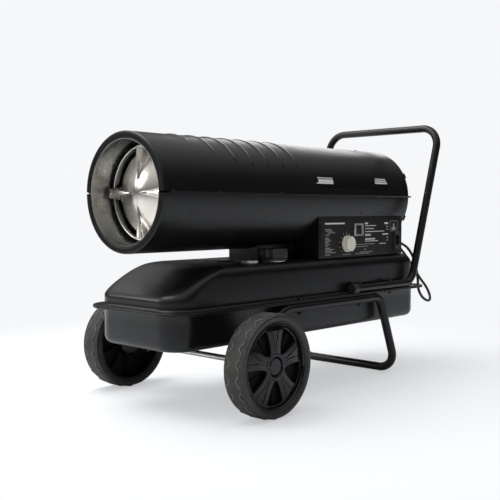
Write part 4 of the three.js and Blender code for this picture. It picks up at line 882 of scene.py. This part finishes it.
# plain bars where the panel is printed: front y, rear y, low z, high z
panelPrint = {
    "panel_title": [(76.3, 150.8, 366.7, 370.2)],
    "panel_notes": [
        (76.4, 100, 354.4, 355.9), (78.9, 105, 350.7, 352.2), (86.3, 113.8, 346.5, 348),
        (77.7, 93.8, 341.4, 343), (77.8, 91.4, 334.9, 336.4), (77.8, 93.9, 331.3, 332.8),
        (77.8, 98.9, 328.2, 329.7), (77.8, 90.2, 324.5, 326), (77.9, 94, 320.4, 321.9),
        (77.9, 87.8, 316.2, 317.7), (77.9, 95.3, 311.5, 313), (78, 109.1, 308.2, 309.6),
        (76.8, 102.8, 304.8, 306), (76.8, 118, 301.2, 302.5), (76.8, 96.7, 296, 297.4),
        (143.7, 175.2, 295.3, 296.6),
    ],
    "panel_table": [
        (232.6, 245.1, 365.4, 369.4), (234.1, 279.1, 361, 362.6), (234.1, 270.6, 353.9, 355.5),
        (232.8, 314.1, 346.9, 348.5), (232.9, 256.6, 340.3, 341.9), (233, 256.7, 337.4, 338.9),
        (233.1, 275.2, 328.2, 331.2), (233.1, 288.2, 323.8, 325.6), (315.2, 331.5, 364.8, 369.2),
        (324.8, 331.6, 357.8, 359.6), (325.8, 331.7, 351.2, 352.8), (306.8, 331.9, 338.6, 341.6),
        (325.2, 332, 331, 332.8), (326.1, 332.1, 324.2, 326), (294, 321.8, 316.7, 318.3),
    ],
    "panel_lower_rows": [
        (196.3, 274, 317.1, 318.3), (191, 245.8, 311.8, 313), (229.2, 240.3, 304.4, 305.8),
        (212.8, 265.6, 298.6, 299.8), (194, 251.6, 295.2, 296.3),
    ],
    "panel_picture": [
        (340.5, 373.8, 346.8, 347.8), (340.5, 373.8, 371.8, 372.8), (340.5, 341.5, 346.8, 372.8),
        (372.8, 373.8, 346.8, 372.8), (348, 366, 350, 356), (354, 360, 356, 366),
    ],
}


def addPrint():
    low, high = (panel["face"] + side for side in panel["print"])
    for name, boxes in panelPrint.items():
        meshes = [roundedBox((low, y0, z0), (high, y1, z1), 0.04, 1) for y0, y1, z0, z1 in boxes]
        newPiece(name, meshes, "whitePrint" if name in ("panel_title", "panel_table") else "labelPrint")
    ticks = []
    for k in range(panel["ticks"]):
        turn = Matrix.Rotation(radians(panel["tickStart"] + panel["tickStep"] * k), 4, "X")
        tick = roundedBox((low, panel["tickFrom"], -0.5), (high, panel["tickTo"], 0.5), 0.04, 1)
        tick.transform(Matrix.Translation(at(0, *panel["knob"])) @ turn @ Matrix.Translation(-at(0, 0, 0)))
        ticks.append(tick)
    newPiece("knob_scale", ticks, "whitePrint")
    y, heights = panel["switchScrews"]
    screws = [screwMesh((panel["face"] + 0.6, y, z), (1, 0, 0), 2.6, 1.4) for z in heights]
    newPiece("switch_screws", screws, "zincPlate")
    x, ys, heights = panel["coverScrews"]
    screws = [screwMesh((x, y, z), (1, 0, 0), 2.4, 1.3) for y in ys for z in heights]
    newPiece("cover_screws", screws, "mouldedBlack")


addCovers()
addPrint()
print("controls made")

# wheels
wheel = {
    "radius": 101.6, "width": 49, "depth": 17, "track": 437.6, "y": -235.5, "z": 101.6, "lugs": 20,
    "groove": 2.1, "band": (8.5, 9.5), "petals": 5, "pitch": 72, "leaf": (26, 75.5, 18.5), "face": 6,
    "bore": 6.6,
    "spokeEdge": ((29, 2.6), (40, 3.2), (50, 3.6), (53.5, 7.2), (58, 5.6), (66, 9.6), (75, 11)),
}


# drawing point on a wheel: depth out from its middle, u out from the hub and v across, turned about the axle
def onWheel(side, depth, u, v, turn=0):
    c, n = cos(turn), sin(turn)
    return side * (wheel["track"] / 2 + depth), wheel["y"] + u * c - v * n, wheel["z"] + u * n + v * c


# half width of the smooth middle band, whose edge runs in zig-zag; phase is 0 to 1 within a lug
def bandEdge(phase):
    return wheel["band"][0] + wheel["band"][1] * max(0, min(1, (2 * abs(phase - 0.5) - 0.2) / 0.6))


# how far the shoulder lies below the band
def treadDrop(angle, across):
    phase = (angle * wheel["lugs"] / (2 * pi)) % 1
    edge = bandEdge(phase)
    past = max(0, min(1, (abs(across) - edge) / 1.2))
    slot = max(0, min(1, (0.075 - abs(phase - 0.5)) / 0.03)) * (1 if abs(across) > 15 else 0)
    return wheel["groove"] * past * past * (3 - 2 * past) + 0.8 * slot


def addTyre(side, sideName):
    half, outer, inner = wheel["width"] / 2, wheel["radius"], wheel["radius"] - wheel["depth"]
    profile = [(inner, -half + 3), (inner + 2, -half + 1.4), (inner + 3.4, -half + 1.8),
               (inner + 5, -half + 0.6), (inner + 8, -half + 0.1), (outer - 6, -half),
               (outer - 3.4, -half + 0.5), (outer - 1.6, -half + 1.8), (outer - 0.5, -half + 3.8)]
    rows, edge = 38, 5.5  # the tread's rows, and where they begin
    tread = [(outer, -half + edge + (wheel["width"] - 2 * edge) * k / rows) for k in range(rows + 1)]
    mirror = [(r, -a) for r, a in reversed(profile)]
    profile = profile + tread + mirror

    def drop(angle, radius, along):
        return treadDrop(angle, along) if radius > outer - 2 else 0

    body, mesh = f"wheel_{sideName}", lathe(profile, onWheel(side, 0, 0, 0), 480, "x", drop)
    tyre = newPiece(f"tyre_{sideName}_tread", mesh, "tyreRubber", body, (f"tyre_{sideName}",), 45).data
    tyre.materials.append(finishes["tyreSide"])
    for face in tyre.polygons:  # the side walls are smoother than the tread, and darker for painted shade
        y, z = face.center.y / mm - midShift - wheel["y"], face.center.z / mm - wheel["z"]
        face.material_index = int(hypot(y, z) < outer - 3.2)
    highlight_beads, count = [], wheel["lugs"] * 6
    for sign in (1, -1):  # light lines along the band's edges: painted highlight
        line = [onWheel(side, side * sign * bandEdge((k / 6) % 1), outer - 0.9, 0, 2 * pi * k / count)
                for k in range(count)]
        highlight_beads.append(tubeMesh(line, 0.85, 8, closed=True))
    newPiece(f"tyre_{sideName}_beads", highlight_beads, "tyreBead", body, smooth=60)


# the face falls away towards the rim
def faceDrop(radius):
    return 3 * (radius / 80) ** 2.6


# the wheel's face: a disc domed towards its rim, with five leaf pockets whose edges are rolled
def spokePlate(side):
    curve = bpy.data.curves.new("face", "CURVE")
    curve.dimensions = "2D"
    curve.fill_mode = "BOTH"
    curve.extrude = 4.6
    curve.bevel_depth = 1
    curve.bevel_resolution = 2
    outlines = [[(radius * cos(2 * pi * k / count), radius * sin(2 * pi * k / count))
                 for k in range(count)] for radius, count in ((82.4, 144), (19.8, 60))]
    tip, end, half = wheel["leaf"]
    for i in range(wheel["petals"]):
        base = radians(90 + wheel["pitch"] * (i + 0.5))
        corner = end * cos(radians(half))
        widest = end * sin(radians(half))
        side1 = [(tip + (corner - tip) * (k / 16) ** 1.6, widest * (k / 16) ** 0.9) for k in range(1, 16)]
        turns = [radians(half * (1 - k / 6)) for k in range(13)]
        arc = [(end * cos(turn), end * sin(turn)) for turn in turns]
        leaf = [(tip, 0)] + side1 + arc + [(u, -v) for u, v in reversed(side1)]
        c, n = cos(base), sin(base)
        outlines.append([(u * c - v * n, u * n + v * c) for u, v in leaf])
    for outline in outlines:
        spline = curve.splines.new("POLY")
        spline.points.add(len(outline) - 1)
        for point, (u, v) in zip(spline.points, outline):
            point.co = (u, v, 0, 1)
        spline.use_cyclic_u = True
    obj = addObject("face", curve)
    depsgraph = bpy.context.evaluated_depsgraph_get()
    mesh = bpy.data.meshes.new_from_object(obj.evaluated_get(depsgraph))
    bpy.data.objects.remove(obj)
    bpy.data.curves.remove(curve)
    bm = bmesh.new()
    bm.from_mesh(mesh)
    bmesh.ops.remove_doubles(bm, verts=bm.verts, dist=0.01)
    bm.to_mesh(mesh)
    bm.free()
    faceOut = wheel["width"] / 2 - wheel["face"]
    for v in mesh.vertices:
        u, w, depth = v.co
        v.co = at(*onWheel(side, faceOut - 5.6 + depth - faceDrop(hypot(u, w)), u, w))
    return mesh


# a thin bar that runs out from the hub; its depth follows how far out and how high it is
def spokeBar(side, turn, thick, begin, end, depthAt):
    mesh = roundedBox((-thick, begin - midShift, 0), (thick, end - midShift, 1), 0.3, 1)
    for v in mesh.vertices:
        across, out, lift = v.co.x / mm, v.co.y / mm, v.co.z / mm
        v.co = at(*onWheel(side, depthAt(out, lift), out, across, turn))
    return mesh


def addWheel(side, sideName):
    half, inner = wheel["width"] / 2, wheel["radius"] - wheel["depth"] - 0.3
    face, bore, pitch = half - wheel["face"], wheel["bore"], wheel["pitch"]
    body = f"wheel_{sideName}"

    def turned(profile, steps):
        return lathe([(r, side * a) for r, a in profile], onWheel(side, 0, 0, 0), steps, "x")

    rim = [(inner - 4, -half + 4), (inner - 3.6, -half + 3.2), (inner - 0.6, -half + 3), (inner, -half + 3.6),
           (inner, half - 3.6), (inner - 0.4, half - 3), (inner - 2, half - 2.6), (inner - 3.4, half - 3.4),
           (inner - 4.4, half - 6), (inner - 4.6, face), (inner - 4.6, 0)]
    hub = [(bore, face - 42), (24, face - 42), (27, face - 39), (27, face - 6), (26.4, face - 1.2),
           (25, face + 0.6), (21.5, face + 1.2), (19.6, face + 0.6), (18.7, face - 0.8), (18.5, face - 6.6),
           (bore, face - 6.6)]
    floor = [(26, face - 11), (inner - 4, face - 13.5), (inner - 4, face - 15.5), (26, face - 13)]
    meshes = [turned(rim, 144), spokePlate(side), turned(hub, 96)]
    backing = [turned(floor, 96)]

    def webDepth(out, lift):
        return face - 12.5 - 9 * (1 - lift) * (1.35 - out / 130)

    def ribDepth(_, lift):
        return face - 13.6 + 4 * lift

    for k in range(2 * wheel["petals"]):  # webs behind the face
        backing.append(spokeBar(side, radians(pitch * (k / 2 + 0.25)), 1.2, 26, 80, webDepth))
    for k in range(wheel["petals"]):  # a low rib down the middle of each pocket
        backing.append(spokeBar(side, radians(90 + pitch * (k + 0.5)), 1.1, 27, 76, ribDepth))
    # the floor and webs behind the pockets are darker than the face: painted shade in the recesses
    newPiece(body + "_backing", backing, "pocketBlack", body, (body,), smooth=30)
    for k in range(wheel["petals"]):  # raised zig-zag edges down each spoke
        turn = radians(90 + pitch * k)
        for sign in (1, -1):
            line = [onWheel(side, face - faceDrop(radius), radius, sign * swing, turn)
                    for radius, swing in wheel["spokeEdge"]]
            meshes.append(tubeMesh(line, 0.7, 8))
    newPiece(body + "_moulding", meshes, "rimBlack", body, (body,), smooth=40)
    refine(f"hub_cap_{sideName}", 0.8, 3)


for side, sideName in ((1, "left"), (-1, "right")):
    addTyre(side, sideName)
    addWheel(side, sideName)
refine("axle", 0.6)
print("wheels made")

# tube frame and handle
frameTube = {"radius": 10, "runX": 138, "runZ": 190.7, "frontBend": -95, "rearBend": 256,
             "foot": (155, 305, 10), "bends": [50, 30, 45, 45, 30, 50], "axleGap": 13.5}


# one side's corners and the same mirrored
def bothSides(corners):
    return corners + [(-x, y, z) for x, y, z in reversed(corners)]


def addLegFrame():
    x, z = frameTube["runX"], frameTube["runZ"]
    axle = Vector((x, wheel["y"], wheel["z"]))
    bend = Vector((x, frameTube["frontBend"], z))
    front = axle + (axle - bend).normalized() * frameTube["axleGap"]
    corners = bothSides([tuple(front), tuple(bend), (x, frameTube["rearBend"], z), frameTube["foot"]])
    mesh = tubeMesh(bentPath(corners, frameTube["bends"]), frameTube["radius"], 36)
    newPiece("leg_frame_tube", mesh, "satinBlack", replaces=("leg_frame",), smooth=50)


handleTube = {"radius": 9.4, "start": (138, 145, 216.8), "bend": (138, 399, 216.8), "top": (176, 466, 609.6),
              "bends": [35, 46, 46, 35], "screws": (510, 441)}


def addHandle():
    start, bend, top = handleTube["start"], handleTube["bend"], handleTube["top"]
    path = bentPath(bothSides([start, bend, top]), handleTube["bends"])
    mesh = tubeMesh(path, handleTube["radius"], 36)
    newPiece("handle_tube", mesh, "satinBlack", replaces=("handle",), smooth=50)
    rise = Vector(top) - Vector(bend)
    slant, ahead = rise.normalized(), Vector((0, -1, 0))
    out = (ahead - slant * slant.dot(ahead)).normalized()
    screws = []
    for side in (1, -1):
        for z in handleTube["screws"]:
            seat = Vector(bend) + rise * ((z - bend[2]) / rise.z)
            seat.x *= side
            screws.append(screwMesh(seat + out * (handleTube["radius"] - 0.3), out, 3, 1))
    newPiece("handle_screws", screws, "mouldedBlack")
    for sideName in ("left", "right"):
        refine(f"handle_cap_{sideName}", 1.2, 3)
        for row in ("front", "middle", "rear"):
            refine(f"frame_bolt_{row}_{sideName}", 0.5)


addLegFrame()
addHandle()
print("frame and handle made")

# stage and light
stage = {
    "pale": (0.921, 0.93, 0.947), "floorTones": ((0.79, 0.803, 0.817), (0.81, 0.823, 0.837)),
    "floorGlow": 0.5, "fadeScale": 0.75, "bright": (-0.1, -0.2, 0.97), "room": (0.03, 1.1),
    "key": {"place": (-0.8, -0.75, 2.4), "target": (0, -0.1, 0.2), "size": (2.1, 1.4), "power": 56},
    "front": {"place": (-1.9, -2.1, 1.3), "target": (-0.8, -1.1, 0), "size": (1.1, 0.8), "power": 16},
    "rim": {"place": (-1.6, 2.6, 1.7), "target": (0, 0.2, 0.4), "size": (1.4, 1.2), "power": 14},
}


def mixShaders(nodes, *sources):
    mix = nodes.new("ShaderNodeMixShader")
    for k, source in enumerate(sources):
        wire(source, 0, mix, k)
    return mix


def paleMaterial():
    mat = bpy.data.materials.new("studioFloor")
    mat.use_nodes = True
    nodes = mat.node_tree.nodes
    shader = setSockets(nodes["Principled BSDF"], {"Specular IOR Level": 0, "Roughness": 0.9})
    tex = setSockets(nodes.new("ShaderNodeTexNoise"), {"Scale": 3})
    ramp = nodes.new("ShaderNodeValToRGB")
    for element, tone in zip(ramp.color_ramp.elements, stage["floorTones"]):
        element.color = (*tone, 1)
    wire(tex, "Fac", ramp, "Fac")
    wire(ramp, "Color", shader, "Base Color")
    glow = setSockets(nodes.new("ShaderNodeEmission"), {"Color": (*stage["pale"], 1)})
    path = nodes.new("ShaderNodeLightPath")
    coords = nodes.new("ShaderNodeTexCoord")
    gradient = nodes.new("ShaderNodeTexGradient")
    gradient.gradient_type = "SPHERICAL"
    mapping = setSockets(nodes.new("ShaderNodeMapping"), {"Scale": (stage["fadeScale"],) * 3})
    wire(coords, "Object", mapping, "Vector")
    wire(mapping, "Vector", gradient, "Vector")
    fade = rangeNode(nodes, 0, 0.55, 1, stage["floorGlow"])
    fade.interpolation_type = "SMOOTHSTEP"
    wire(gradient, "Fac", fade, "Value")
    both = nodes.new("ShaderNodeMath")
    both.operation = "MULTIPLY"
    wire(path, "Is Camera Ray", both, 0)
    wire(fade, "Result", both, 1)
    wire(mixShaders(nodes, both, shader, glow), "Shader", nodes["Material Output"], "Surface")
    return mat


def addStage():
    mesh = bpy.data.meshes.new("studio_floor")
    mesh.from_pydata([(-9, -9, 0), (9, -9, 0), (9, 9, 0), (-9, 9, 0)], [], [(0, 1, 2, 3)])
    mesh.materials.append(paleMaterial())
    floor = addObject("studio_floor", mesh)
    world = bpy.data.worlds.new("studio")
    bpy.context.scene.world = world
    world.use_nodes = True
    nodes = world.node_tree.nodes
    seen = setSockets(nodes.new("ShaderNodeBackground"), {"Color": (*stage["pale"], 1)})
    room = setSockets(nodes["Background"], {"Color": (0.97, 0.98, 1, 1)})
    coords = nodes.new("ShaderNodeTexCoord")
    facing = nodes.new("ShaderNodeVectorMath")
    facing.operation = "DOT_PRODUCT"
    facing.inputs[1].default_value = Vector(stage["bright"]).normalized()
    wire(coords, "Generated", facing, 0)
    glow = rangeNode(nodes, 0.1, 0.95, *stage["room"])
    glow.interpolation_type = "SMOOTHSTEP"
    wire(facing, "Value", glow, "Value")
    wire(glow, "Result", room, "Strength")
    path = nodes.new("ShaderNodeLightPath")
    wire(mixShaders(nodes, path, room, seen), "Shader", nodes["World Output"], "Surface")
    for name in ("key", "front", "rim"):
        addLamp(name, stage[name])


def addLamp(name, soft):
    data = bpy.data.lights.new(name, "AREA")
    data.shape = "RECTANGLE"
    data.size, data.size_y = soft["size"]
    data.energy = soft["power"]
    lamp = addObject(name, data)
    lamp.location = soft["place"]
    lamp.rotation_euler = (Vector(soft["target"]) - lamp.location).to_track_quat("-Z", "Y").to_euler()


addStage()
bpy.context.scene.view_settings.view_transform = "Standard"
print("stage and light set")
